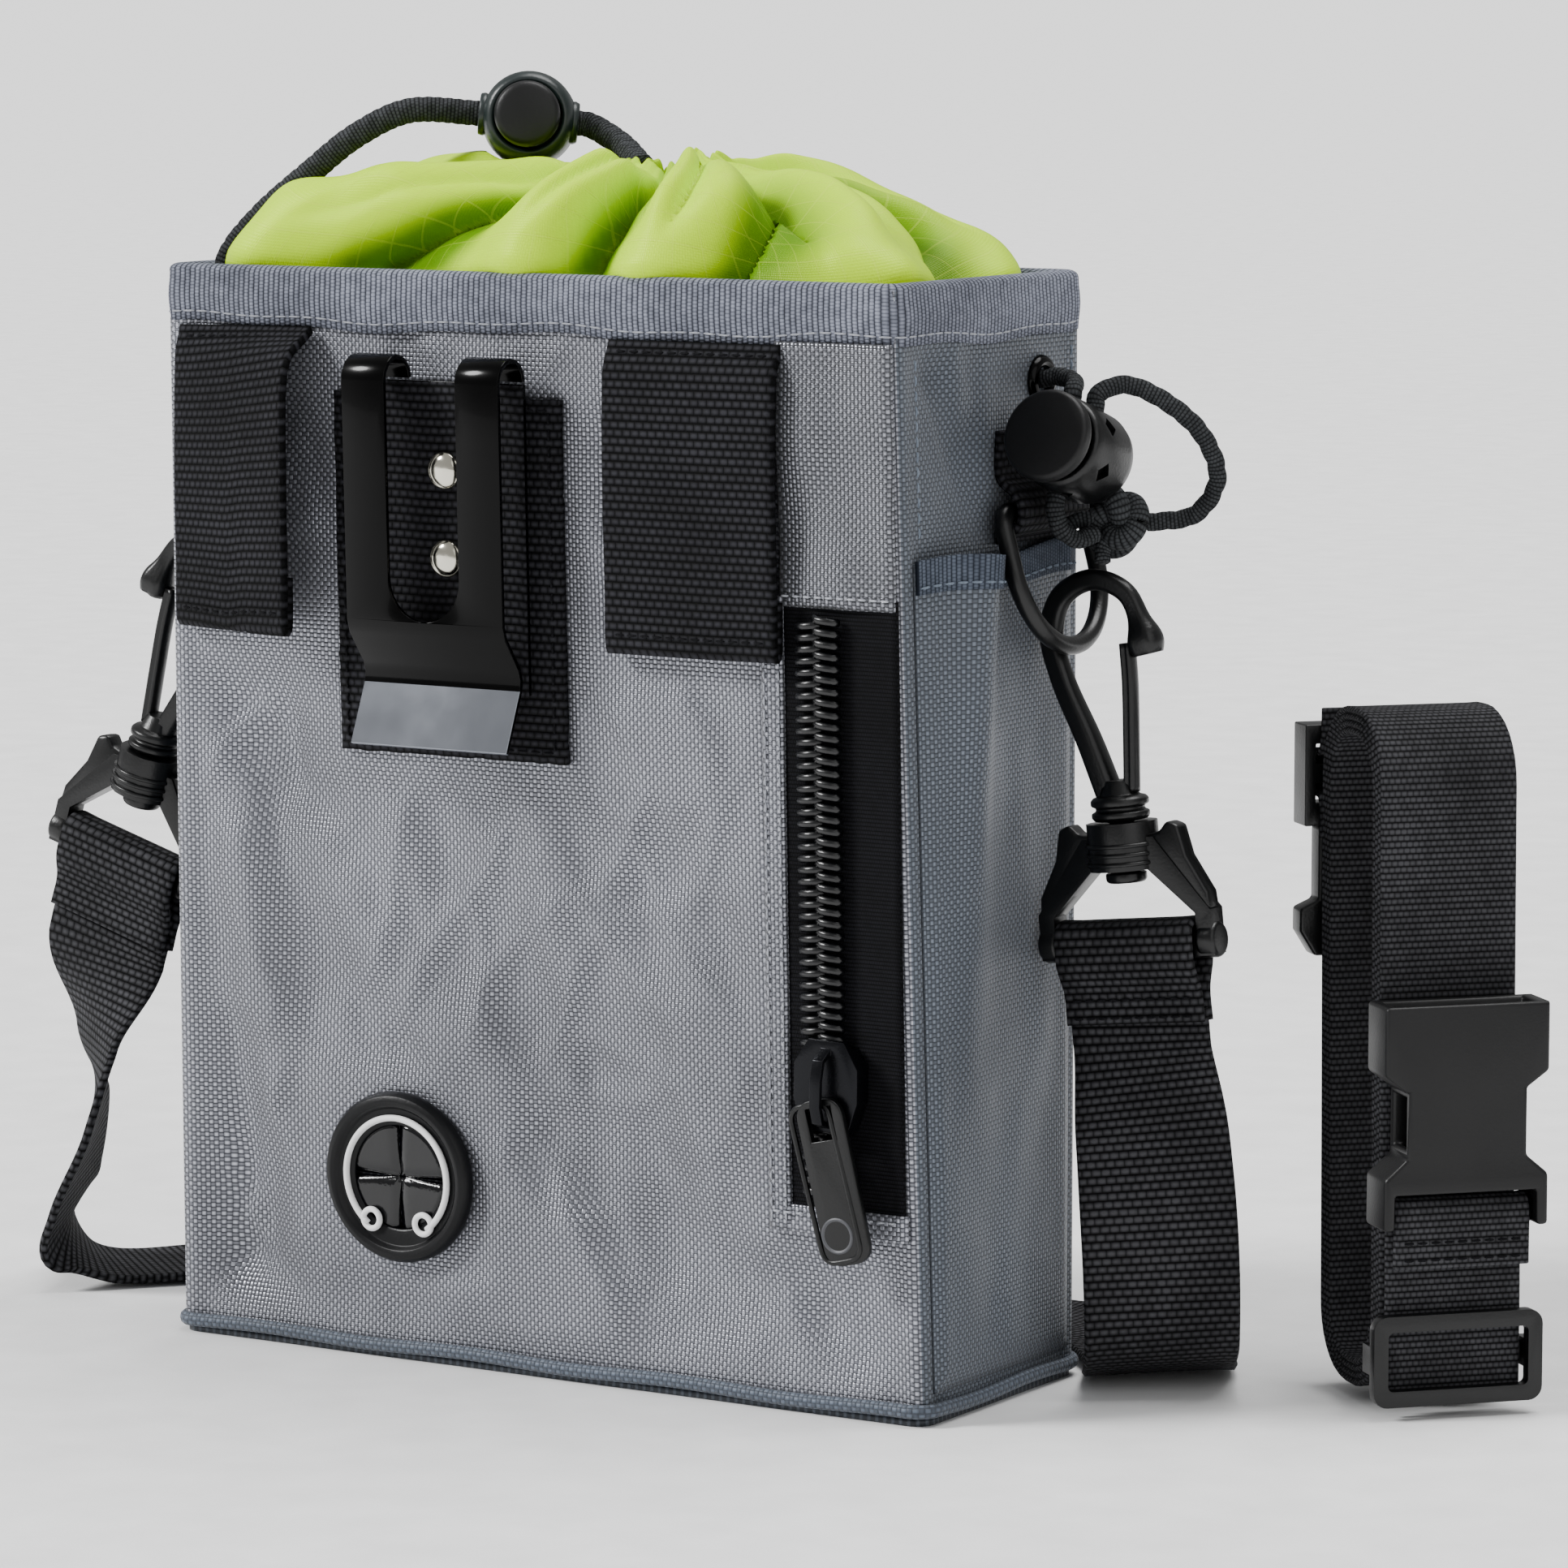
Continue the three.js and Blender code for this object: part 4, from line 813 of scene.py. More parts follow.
# ---- cord locks ----
def facing(place, out, along):
    """A matrix that puts +Z along out and +Y along the cord."""
    z = Vector(out).normalized()
    x = Vector(along).cross(z).normalized()
    y = z.cross(x)
    return Matrix.Translation(place) @ Matrix((x, y, z)).transposed().to_4x4()


def build_collar_lock():
    top = facing(TOGGLE - TOGGLE_OUT * TOGGLE_HOLE, TOGGLE_OUT, TOGGLE_WAY)
    shell = [(0, -7.5), (4.6, -7.4), (6.9, -6.3), (8.3, -3.8), (8.6, -0.8), (8.5, 2.6), (8.2, 5.2),
             (7.6, 6.8),
             (6.9, 7.5), (6.25, 7.5), (6.1, 7.1), (6.0, 3.6), (0, 3.6)]
    body = turned_piece("collar_lock_shell", shell, top, TOGGLE_PLASTIC, edge=0.3,
                        replaces="collar_lock_body")
    for side in (-1, 1):
        collar = Matrix.Translation(TOGGLE + TOGGLE_WAY * side * 8.1)
        turn = TOGGLE_WAY.to_track_quat("Z", "Y").to_matrix().to_4x4()
        lip = [(2.5, -0.9), (3.7, -0.9), (3.9, 0.0), (3.5, 0.8), (2.7, 0.8)]
        made = turned_piece(f"collar_lock_lip_{'near' if side < 0 else 'far'}", lip, collar @ turn,
                            TOGGLE_PLASTIC,
                            segments=32, edge=0.2)
    cap = [(0, 6.1), (5.5, 6.1), (5.6, 9.0), (5.9, 9.9), (5.9, 11.0), (5.5, 11.9), (4.6, 12.3), (0, 12.35)]
    turned_piece("collar_lock_cap", cap, top, MATT_PLASTIC, edge=0.25, body="collar_lock_button",
                 replaces=["collar_lock_button", "collar_lock_spring"])


def build_side_lock():
    side = facing(SIDE_LOCK, (0, -0.95, 0.31), (0, 0.31, 0.95))
    barrel = [(0, -7.5), (6.4, -7.5), (7.7, -6.4), (8.2, -4.4), (8.2, 5.6), (7.9, 7.0), (7.2, 7.5),
              (6.7, 7.3),
              (6.6, 3.6), (0, 3.6)]
    body = turned_piece("side_lock_barrel", barrel, side, BLACK_PLASTIC, segments=64, edge=0.3,
                        replaces="side_lock_body")
    cut_vents(body, side)
    cap = [(0, 5.9), (6.2, 5.9), (6.3, 9.7), (8.0, 9.8), (8.1, 10.6), (8.0, 11.8), (7.4, 12.3), (0, 12.55)]
    turned_piece("side_lock_cap", cap, side, MATT_PLASTIC, segments=64, edge=0.25, body="side_lock_button",
                 replaces=["side_lock_button", "side_lock_spring"])


def cut_vents(barrel, place):
    """Diamond vents round the barrel."""
    count = 6
    points, faces = [], []
    for k in range(count):
        turn = Matrix.Rotation(2 * math.pi * (k + 0.5) / count, 4, "Z")
        first = len(points)
        for reach in (6.9, 9.5):
            for y, z in ((-1.9, 2.3), (0, 0.4), (1.9, 2.3), (0, 4.2)):
                points.append(place @ turn @ Vector((reach, y, z)))
        for s in range(4):
            faces.append([first + s, first + (s + 1) % 4, first + 4 + (s + 1) % 4, first + 4 + s])
        faces.append([first + s for s in (3, 2, 1, 0)])
        faces.append([first + 4 + s for s in range(4)])
    cutter = make_piece("vent_cutter", points, faces, BLACK_PLASTIC, parent=False)
    cut = barrel.modifiers.new("vents", "BOOLEAN")
    cut.operation = "DIFFERENCE"
    cut.object = cutter
    cut.solver = "EXACT"
    settle(barrel).data.set_sharp_from_angle(angle=math.radians(32))
    bpy.data.objects.remove(cutter)


# ---- the pouch's cloth ----
QUARTERS = ((1, 1), (-1, 1), (-1, -1), (1, -1))
BACK, LEFT, FACE, RIGHT = range(4)


def perimeter(long_steps, short_steps, corner_steps):
    """Stops round the pouch from its +X +Y corner: (quarter, angle, share of the straight side after it)."""
    stops = []
    for quarter in range(4):
        for k in range(corner_steps + 1):
            stops.append((quarter, (quarter + k / corner_steps) * math.pi / 2, 0.0))
        steps = long_steps if quarter % 2 == 0 else short_steps
        stops += [(quarter, (quarter + 1) * math.pi / 2, k / steps) for k in range(1, steps)]
    return stops


def form_point(stop, z, offset=0.0):
    quarter, angle, share = stop
    radius = max(CORNER + offset, 0.6)

    def at(index):
        sx, sy = QUARTERS[index % 4]
        return Vector((sx * (half_width(z) + offset - radius) + radius * math.cos(angle),
                       sy * (half_depth(z) + offset - radius) + radius * math.sin(angle), z))
    return at(quarter).lerp(at(quarter + 1), share)


def running_lengths(stops):
    """Distance round the pouch at each stop, with the full round at the end."""
    ring = [form_point(stop, HEIGHT / 2) for stop in stops]
    lengths = [0.0]
    for a, b in zip(ring, ring[1:] + ring[:1]):
        lengths.append(lengths[-1] + (b - a).length)
    return lengths


def side_length(quarter):
    return 2 * (half_width(HEIGHT / 2) if quarter % 2 == 0 else half_depth(HEIGHT / 2)) - 2 * CORNER


HELD = {
    # areas where something sewn on keeps the cloth flat: left, right, bottom, top
    FACE: ((-76, -42, 176, 190), (-76, -42, 129, 141), (18, 54, 176, 190), (18, 54, 129, 141),
           (-39, 9, 110, 174),
           (-44, -13, 18, 48), (48, 78, 31, 190)),
    RIGHT: ((0, 26, 148, 180), (-28, 28, 0, 151)),
    LEFT: ((-17, 9, 148, 170),),
    BACK: (),
}


def slack(quarter, x, z):
    """1 where the cloth is free to sink and 0 where something holds it."""
    free = 1.0
    for left, right, bottom, top in HELD[quarter]:
        apart = math.hypot(max(left - x, x - right, 0), max(bottom - z, z - top, 0))
        free *= 1 - hump(apart, SEAM_FADE)
    return free


def sink(stop, z):
    """How far the cloth lies inside the form: seams stand proud, and between them it dips and folds."""
    quarter, angle, share = stop
    if share == 0:
        turned = angle / (math.pi / 2) - quarter
        return -0.75 * hump(turned - 0.5, 0.3)
    length = side_length(quarter)
    x = share * length
    edge = min(x, length - x)
    middle = (x - length / 2) * (1 if quarter in (FACE, RIGHT) else -1)
    free = slack(quarter, middle, z) * ease(edge / 9) * ease((z - 2) / 14) * ease((190 - z) / 12)
    wide = noise.noise(Vector((x / 30 + z / 90 + 5 * quarter, z / 46, 3.1 * quarter)))
    small = noise.noise(Vector((x / 11 + z / 40 + 9 * quarter, z / 19, 7.7 * quarter)))
    line = noise.noise(Vector((x / 24 - z / 60 + 2 * quarter, z / 34, 1.7 * quarter)))
    crease = noise.noise(Vector((x / 15 + z / 25, z / 44 - x / 50, 6.1 * quarter)))
    amount = 1.4 + 4.6 * wide + 1.7 * small - 0.7 * hump(line, 0.14) - 0.45 * hump(crease, 0.12)
    if quarter in (LEFT, RIGHT):
        amount += 2.2 * hump(x - length * 0.5, 9) * ease((z - 30) / 60)
    pucker = 0.35 * (1 + math.sin(x / 2.3 + 2 * math.sin(x / 9))) * hump(z - 181, 5)
    least = -0.6 if quarter == FACE else -0.9
    return min(max(free * amount, least), 4.4) + 0.25 * hump(edge - 2.4, 2.0) + pucker * free


def build_pouch_cloth():
    stops = perimeter(110, 40, 6)
    lengths = running_lengths(stops)
    rows = 136
    low, high = 0.6, 194.5
    height = [lerp(low, high, j / rows) for j in range(rows + 1)]
    points, faces, cells = grid(
        len(stops), rows, lambda i, j: form_point(stops[i], height[j], -sink(stops[i], height[j])),
        lambda i, j: (lengths[i], height[j]), wrap=True)
    face_side = []
    for quarter, angle, share in stops:
        turned = angle / (math.pi / 2) - quarter
        front = quarter % 2 == (0 if share > 0 or turned >= 0.5 else 1)
        face_side.append(0 if front else 1)
    slots = [face_side[index // rows] for index in range(len(faces))]
    cloth = make_piece("pouch_cloth", points, faces, [FACE_CLOTH, GUSSET_CLOTH], weave=cells, slots=slots,
                       replaces=["front_panel", "back_panel", "left_gusset", "right_gusset"])
    thicken(cloth, 1.3)
    build_base()
    build_lining()


def floor_sheet(name, offset, z, rise, thick, finish, replaces=()):
    """A cloth floor inside the form, domed by rise."""
    stops = perimeter(30, 12, 4)
    lengths = running_lengths(stops)
    rows = 8

    def place(i, j):
        edge = form_point(stops[i % len(stops)], z, offset)
        share = j / rows
        return Vector((edge.x * (1 - share), edge.y * (1 - share), z + rise * math.sin(math.pi / 2 * share)))
    points, faces, cells = grid(len(stops), rows - 1, place, lambda i, j: (lengths[i], 3 * j), wrap=True)
    inner = [i * rows + rows - 1 for i in range(len(stops))]
    faces.append(inner)
    cells.append([(0, 0)] * len(inner))
    piece = make_piece(name, points, faces, finish, weave=cells, replaces=replaces)
    return thicken(piece, thick)


def build_base():
    base = floor_sheet("base_cloth", 0.2, 0.5, 0.5, 1.3, GUSSET_CLOTH, "base_panel")
    stops = perimeter(84, 32, 6)
    lengths = running_lengths(stops)
    path = [form_point(stop, 1.7 + 0.25 * math.sin(length / 7), 0.9) for stop, length in zip(stops, lengths)]
    points, faces, cells = sweep(
        carried_stops(path, closed=True, up=Vector((0, 0, 1))), round_section(1.0, 1.25, 10), closed=True)
    piping = make_piece("base_seam", points, faces, PIPING_CLOTH, weave=cells, replaces="base_piping")


def build_lining():
    stops = perimeter(40, 16, 4)
    lengths = running_lengths(stops)
    rows = 40
    height = [lerp(3.4, 192, j / rows) for j in range(rows + 1)]
    points, faces, cells = grid(
        len(stops), rows,
        lambda i, j: form_point(stops[i], height[j], -6.4 - 0.4 * math.sin(height[j] / 9 + lengths[i] / 17)),
        lambda i, j: (lengths[i], height[j]), wrap=True)
    wall = make_piece("lining_wall", points, faces, LIME_NYLON, weave=cells, replaces="inner_lining")
    thicken(wall, 0.5)
    floor = floor_sheet("lining_floor", -6.7, 2.7, 0.4, 0.4, LIME_NYLON)


RIM_FOOT = 184.9


def rim_foot(length):
    """Height of the tape's lower edge, which waves a little."""
    return RIM_FOOT + 0.45 * math.sin(length / 11) + 0.3 * math.sin(length / 4.3 + 1)


def build_rim():
    stops = perimeter(120, 48, 8)
    lengths = running_lengths(stops)
    outer, inner, fold = 0.75, -3.3, 12
    lift = 1.3

    def profile(i, j):
        wave = 0.12 * math.sin(lengths[i] / 6)
        foot = rim_foot(lengths[i])
        top = HEIGHT - 0.4 - lift
        if j <= 6:
            return outer + wave + 0.35 * math.sin(math.pi * j / 6) ** 2, lerp(foot, top, j / 6)
        if j <= 6 + fold:
            angle = math.pi * (j - 6) / fold
            middle, half = (outer + inner) / 2, (outer - inner) / 2
            return middle + half * math.cos(angle), top + lift * math.sin(angle)
        return inner, lerp(top, foot + 1.5, (j - 6 - fold) / 6)

    rows = 12 + fold
    along = [0.0]
    for j in range(rows):
        (a, b), (c, d) = profile(0, j), profile(0, j + 1)
        along.append(along[-1] + math.hypot(c - a, d - b))

    def place(i, j):
        offset, z = profile(i, j)
        return form_point(stops[i], z, offset)
    points, faces, cells = grid(len(stops), rows, place, lambda i, j: (along[j], lengths[i]), wrap=True)
    rim = make_piece("rim_tape_fold", points, faces, RIM_TAPE, weave=cells, replaces="rim_binding")
    thicken(rim, 0.7)

    line = [form_point(stop, rim_foot(length) + 1.6, outer + 0.2) for stop, length in zip(stops, lengths)]
    seam = stitch_piece("rim_stitches", line + line[:1], lambda p: Vector((p.x / 6, p.y, 0)).normalized()
                        if abs(p.y) > half_depth(HEIGHT) - 4 else Vector((math.copysign(1, p.x), 0, 0)),
                        2.9, WHITE_THREAD, radius=0.17, share=0.8)


# ---- the gathered collar ----
MOUTH = Vector((11.6, 0.0, 212.0))
COLLAR_FOOT = (71.2, 27.2, 187.0)
VALLEYS = (
    # direction from the mouth in degrees where a crease runs, and how far the lobe after it stands out
    (-46, 7.0), (-4, 8.0), (42, 7.0), (74, 7.0), (104, 8.0), (136, 7.0), (168, 9.5), (204, 13.0), (262, 12.0),
)
# the painted crease shade rises from nothing to full over this many millimetres of a crease's dip
VALLEY_DEPTH = 5.0


def lobe(way):
    """How far the cloth puffs out between the creases that run to the mouth; negative in a crease."""
    for k, (start, tall) in enumerate(VALLEYS):
        width = (VALLEYS[(k + 1) % len(VALLEYS)][0] - start) % 360
        share = ((way - start) % 360) / width
        if share < 1:
            return tall * (math.sin(math.pi * share ** 1.35) ** 0.8 - 0.55)
    return 0.0


def collar_foot(turn):
    """The seam round the inside of the rim, in even steps."""
    half_x, half_y, radius = COLLAR_FOOT[0], COLLAR_FOOT[1], 9.0
    straight = (2 * (half_y - radius), 2 * (half_x - radius)) * 2
    quarter = math.pi * radius / 2
    goal = (turn % 1) * (sum(straight) + 4 * quarter) + straight[0] / 2
    for side, length in enumerate((*straight, straight[0])):
        sx, sy = ((1, -1), (1, 1), (-1, 1), (-1, -1))[side % 4]
        start = Vector((sx * (half_x - radius), sy * (half_y - radius), COLLAR_FOOT[2]))
        out = Vector((math.cos(side * math.pi / 2), math.sin(side * math.pi / 2), 0))
        along = Vector((-out.y, out.x, 0))
        if goal <= length:
            return start + out * radius + along * goal
        goal -= length
        if goal <= quarter:
            bend = goal / radius
            return start + along * length + (out * math.cos(bend) + along * math.sin(bend)) * radius
        goal -= quarter
    return start + out * radius


def collar_form(turn, v):
    """The collar without its folds: steep on the left, a long slope on the right."""
    foot = collar_foot(turn)
    angle = math.atan2(foot.y, foot.x - MOUTH.x)
    way = math.degrees(angle)
    steep = lerp(3.2, 2.1, hump(way, 42))
    reach = v ** lerp(1.6, 1.4, hump(way, 42))
    mouth = Vector((MOUTH.x + 10.6 * math.cos(angle), 10.6 * math.sin(angle), 0))
    height = foot.z + 23.5 * (1 - (1 - v) ** steep)
    return Vector((lerp(foot.x, mouth.x, reach), lerp(foot.y, mouth.y, reach), height)), way


def collar_point(turn, rise, cord):
    """A point of the gathered cloth.

    turn is 0 to 1 round it; rise is 0 at the rim, 1 at the mouth and 1.4 inside it.
    """
    v = min(rise, 1.0)
    point, way = collar_form(turn, v)
    step = 0.004
    level = min(v, 0.88)
    across = collar_form(turn + step, level)[0] - collar_form(turn - step, level)[0]
    up = collar_form(turn, level + step)[0] - collar_form(turn, max(level - step, 0.0))[0]
    out = across.cross(up).normalized()
    angle = math.radians(way)
    swirl = way - 30 * v
    free = ease((v - 0.02) / 0.14) * lerp(1, 0.35, ease((v - 0.75) / 0.25))
    folds = lobe(swirl)
    folds += 0.4 * lobe(2 * swirl + 25 * math.sin(way / 40)) * ease((v - 0.2) / 0.3)
    folds += 2.2 * noise.noise(Vector((point.x / 14, point.y / 9, point.z / 10)))
    pleat = v ** 5 * (math.sin(9 * angle + 1.8 * math.sin(2 * angle)) + 0.6 * math.sin(16 * angle + 1))
    point += out * (folds * free + 1.3 * pleat)
    point.z += 1.6 * hump(v - 0.98, 0.07)
    if rise > 1:
        over = (rise - 1) / 0.4
        outer = Vector((math.cos(angle), math.sin(angle), 0))
        point -= outer * (3.4 * math.sin(math.pi * min(over, 0.5)))
        point.z += 1.6 * math.sin(math.pi * min(over * 1.6, 1)) - 12.0 * ease((over - 0.3) / 0.7)
    for spot, reach in cord:
        apart = math.hypot(point.x - spot.x, point.y - spot.y)
        if apart < reach and rise < 1.1:
            point.z = min(point.z, spot.z - math.sqrt(reach ** 2 - apart ** 2))
    # with the point goes its painted crease shade: 0 on open cloth, rising to 1 deep in a crease
    return point, free * ease((0.4 * VALLEY_DEPTH - lobe(swirl)) / VALLEY_DEPTH)


def build_collar(cord_path):
    around, rows = 400, 96
    held_down = [(spot, COLLAR_CORD_R + 1.1) for spot in cord_path[::3]] + [(TOGGLE, 9.6)]
    made = [[collar_point(i / around, 1.4 * j / rows,
                          held_down) for j in range(rows + 1)] for i in range(around)]
    points, faces, cells = grid(
        around, rows, lambda i, j: made[i][j][0], lambda i, j: (400 * i / around, 62 * j / rows), wrap=True)
    # painted shade for each point, deepest in the creases
    hollows = [depth for column in made for _, depth in column]
    collar = make_piece("collar_cloth", points, faces, LIME_NYLON, weave=cells, replaces="drawstring_collar",
                        hollows=hollows)
    thicken(collar, 0.5)


# ---- rings, hooks and the shoulder strap ----
RING = {"wire": 1.65, "half_width": 14.45, "corner": 3.0, "bar_z": 155.0, "drop": 24.6, "out": 2.5,
        "lean": 0.27}
HOOK = {"x": 90.2, "z": 134.0, "radius": 9.0, "hub_x": 1.5}
SIDES = {
    "right": {"sign": 1, "y": 13.0, "lean": 0.11},
    "left": {"sign": -1, "y": -4.0, "lean": 0.297},
}
STRAP_WIDTH = 27.4
STRAP_START = -66.3
STRAP_BACK_Y = 50.5


def build_ring_tab(name, side):
    flat = 0.3 + WEBBING / 2
    profile = [(flat, 149.4), (flat, 150.6), (4.0, 152.2), (5.3, 155), (4.0, 158.0), (flat, 160.8),
               (flat, 169)]
    path = spline([(side["sign"] * (half_width(z) + out), side["y"], z) for out, z in profile], 44)
    tab = webbing_piece(f"ring_tab_webbing_{name}", strip_stops(path, (0, 1, 0)), 25, WEBBING,
                        replaces=f"ring_tab_{name}")
    for z in (151.0, 163.0, 166.5):
        row = [Vector((side["sign"] * (half_width(z) + 2 * flat + 0.05), side["y"] + y, z)) for y in (-11,
                                                                                                      11)]
        stitch_piece(f"ring_tab_stitches_{name}_{z:.0f}", row, Vector((side["sign"], 0, 0)), 2.4,
                     BLACK_THREAD)


def ring_path():
    def arc(y, z, radius, start, end, steps):
        turns = [math.radians(lerp(start, end, k / steps)) for k in range(steps + 1)]
        return [Vector((0, y + radius * math.cos(turn), z + radius * math.sin(turn))) for turn in turns]
    shoulder = RING["half_width"] - RING["corner"]
    waist = RING["half_width"] - RING["drop"]
    bar = [Vector((0, lerp(-shoulder, shoulder, k / 10), 0)) for k in range(1, 10)]
    return (arc(shoulder, -RING["corner"], RING["corner"], 90, 0, 8)
            + arc(0, waist, RING["half_width"], 0, -180, 40)
            + arc(-shoulder, -RING["corner"], RING["corner"], 180, 90, 8) + bar)


def build_ring(name, side):
    place = Matrix.Translation((side["sign"] * (half_width(RING["bar_z"]) + RING["out"]), side["y"],
                                RING["bar_z"]))
    place = place @ Matrix.Rotation(-side["sign"] * RING["lean"], 4, "Y")
    ring = tube_piece(f"ring_{name}_wire", [place @ p for p in ring_path()], RING["wire"], BLACK_PLASTIC,
                      sides=16,
                      closed=True, body=f"ring_{name}", replaces=f"d_ring_{name}")


def hook_place(side):
    return (Matrix.Translation((side["sign"] * HOOK["x"], side["y"], HOOK["z"]))
            @ Matrix.Rotation(0 if side["sign"] > 0 else math.pi, 4, "Z")
            @ Matrix.Rotation(-side["lean"], 4, "Y"))


def spine_section(share):
    """A ridged bar, deep and grooved near the hub and round at the nose."""
    base = ease((0.45 - share) / 0.45)
    wide, deep = lerp(2.1, 2.3, base), lerp(2.3, 3.1, base)
    slim = 0.82 + 0.7 * hump(share - 0.965, 0.05) + 0.18 * ease((0.9 - share) / 0.4)
    section = []
    for k in range(16):
        angle = 2 * math.pi * k / 16
        groove = 1 - 0.28 * hump(math.cos(angle), 0.35)
        section.append((wide * slim * math.cos(angle), deep * slim * groove * math.sin(angle)))
    return section


SHOULDER = [(5.0, -41), (5.2, -35.6), (8.0, -35.2), (9.6, -33.4), (11.8, -34.2), (13.0, -39.6), (16.6, -46.0),
            (16.9, -50), (14, -49.6)]
HUB_PROFILE = [
    (0, -43.9), (3.2, -43.9), (3.6, -43.4), (3.6, -42.2), (2.2, -41.9), (2.2, -33), (4.6, -33), (5.1, -32.4),
    (5.1, -31.6), (4.3, -31.2), (4.3, -30.7), (5.1, -30.3), (5.1, -29.4), (4.6, -28.9), (3.6, -28.6),
               (2.6, -26),
    (0, -25.6),
]
LUG_PROFILE = [(0, -1.9), (2.7, -1.9), (3.2, -1.3), (3.2, 1.3), (2.7, 1.9), (0, 1.9)]
RIB_PROFILE = [(5.8, -0.4), (6.55, -0.35), (6.7, 0), (6.55, 0.35), (5.8, 0.4)]


def build_hook_spine(name, place):
    diagonal = HOOK["radius"] / math.sqrt(2)
    spine = [(0.2, 0, -30), (-3.4, 0, -19), (-7.6, 0, -8), (-HOOK["radius"], 0, 0), (-diagonal, 0, diagonal),
             (0, 0, HOOK["radius"]), (diagonal, 0, diagonal), (HOOK["radius"], 0, 0), (9.8, 0, -4.5)]
    path = spline(spine, 90)
    stops = [(place @ p, (place.to_3x3() @ a), (place.to_3x3() @ u), t)
             for p, a, u, t in carried_stops(path, up=Vector((0, 1, 0)))]
    points, faces, _ = sweep(stops, spine_section)
    hook = make_piece(f"hook_{name}_spine", points, faces, BLACK_PLASTIC, replaces=f"hook_{name}")
    hub = place @ Matrix.Translation((HOOK["hub_x"], 0, 0))
    turned_piece(f"hook_{name}_hub", HUB_PROFILE, hub, BLACK_PLASTIC, edge=0.2)


def build_hook_gate(name, place):
    path = spline([(4.1, 0, -28.1), (5.0, 0, -18), (5.7, 0, -9), (5.8, 0, -2.4)], 30)
    section = [(1.3 * math.cos(a), 1.95 * math.sin(a) * (1 - 0.35 * hump(math.cos(a), 0.35)))
               for a in (2 * math.pi * k / 20 for k in range(20))]
    stops = carried_stops([place @ Vector(p) for p in path], up=place.to_3x3() @ Vector((0, 1, 0)))
    points, faces, _ = sweep(stops, section)
    gate = make_piece(f"hook_{name}_gate", points, faces, BLACK_PLASTIC, body=f"gate_{name}",
                      replaces=f"hook_gate_{name}")


def build_hook_base(name, place):
    """The swivelling base: its frame, shoulders, the lugs of the strap's bar and the ribs round its neck."""
    body = f"swivel_{name}"
    ends = ((-1, "in"), (1, "out"))
    refined_piece(f"hook_{name}_yoke", f"hook_base_{name}", BLACK_PLASTIC, edge=0.7, segments=3)
    for end, word in ends:
        plate_piece(f"hook_{name}_shoulder_{word}", SHOULDER[::end], 4.0,
                    lambda x, y, z, end=end: place @ Vector((HOOK["hub_x"] + end * x, y, z)),
                    BLACK_PLASTIC, edge=0.6, body=body)
    for end, word in ends:
        bar = (place @ Matrix.Translation((HOOK["hub_x"] + end * 15.6, 0, -54.4))
               @ Matrix.Rotation(math.pi / 2, 4, "Y"))
        turned_piece(f"hook_{name}_lug_{word}", LUG_PROFILE, bar, BLACK_PLASTIC, segments=32, edge=0.3,
                     body=body)
    for k in range(3):
        rib = place @ Matrix.Translation((HOOK["hub_x"], 0, -37.2 - 1.6 * k))
        turned_piece(f"hook_{name}_rib_{k}", RIB_PROFILE, rib, BLACK_PLASTIC, edge=0, body=body)


def build_hook(name, side):
    place = hook_place(side)
    build_hook_spine(name, place)
    build_hook_gate(name, place)
    build_hook_base(name, place)


def build_strap_end(name, side):
    place = hook_place(side)
    half = [(3.5, -54), (3.5, -58), (1.55, -63), (1.5, -68.5)]
    profile = [(-y, z) for y, z in half][::-1] + [(-3.2, -52.1), (-1.6, -51.1), (1.6, -51.1),
                                                  (3.2, -52.1)] + half
    path = [place @ Vector((HOOK["hub_x"], y, z)) for y, z in profile]
    end = webbing_piece(f"strap_fold_{name}",
                        strip_stops(spline(path, 60), place.to_3x3() @ Vector((1, 0, 0))),
                        STRAP_WIDTH, WEBBING, STRAP_WEBBING, body=f"swivel_{name}",
                        replaces=f"strap_end_{name}")
    out = place.to_3x3() @ Vector((0, -1, 0))
    for z in (-64.2, -67.4):
        row = [place @ Vector((HOOK["hub_x"] + x, -2.3, z)) for x in (-12, 12)]
        stitch_piece(f"strap_fold_stitches_{name}_{-z:.0f}", row, out, 2.4, BLACK_THREAD,
                     body=f"swivel_{name}")


def below_hook(side, along):
    """A stop of the strap in line with its hook: its place, then its width's direction."""
    local = STRAP_START - along
    turn, sign = side["lean"], side["sign"]
    x = sign * (HOOK["x"] + HOOK["hub_x"] * math.cos(turn) - local * math.sin(turn))
    z = HOOK["z"] + HOOK["hub_x"] * math.sin(turn) + local * math.cos(turn)
    return [x, side["y"], z, math.cos(turn), 0, sign * math.sin(turn)]


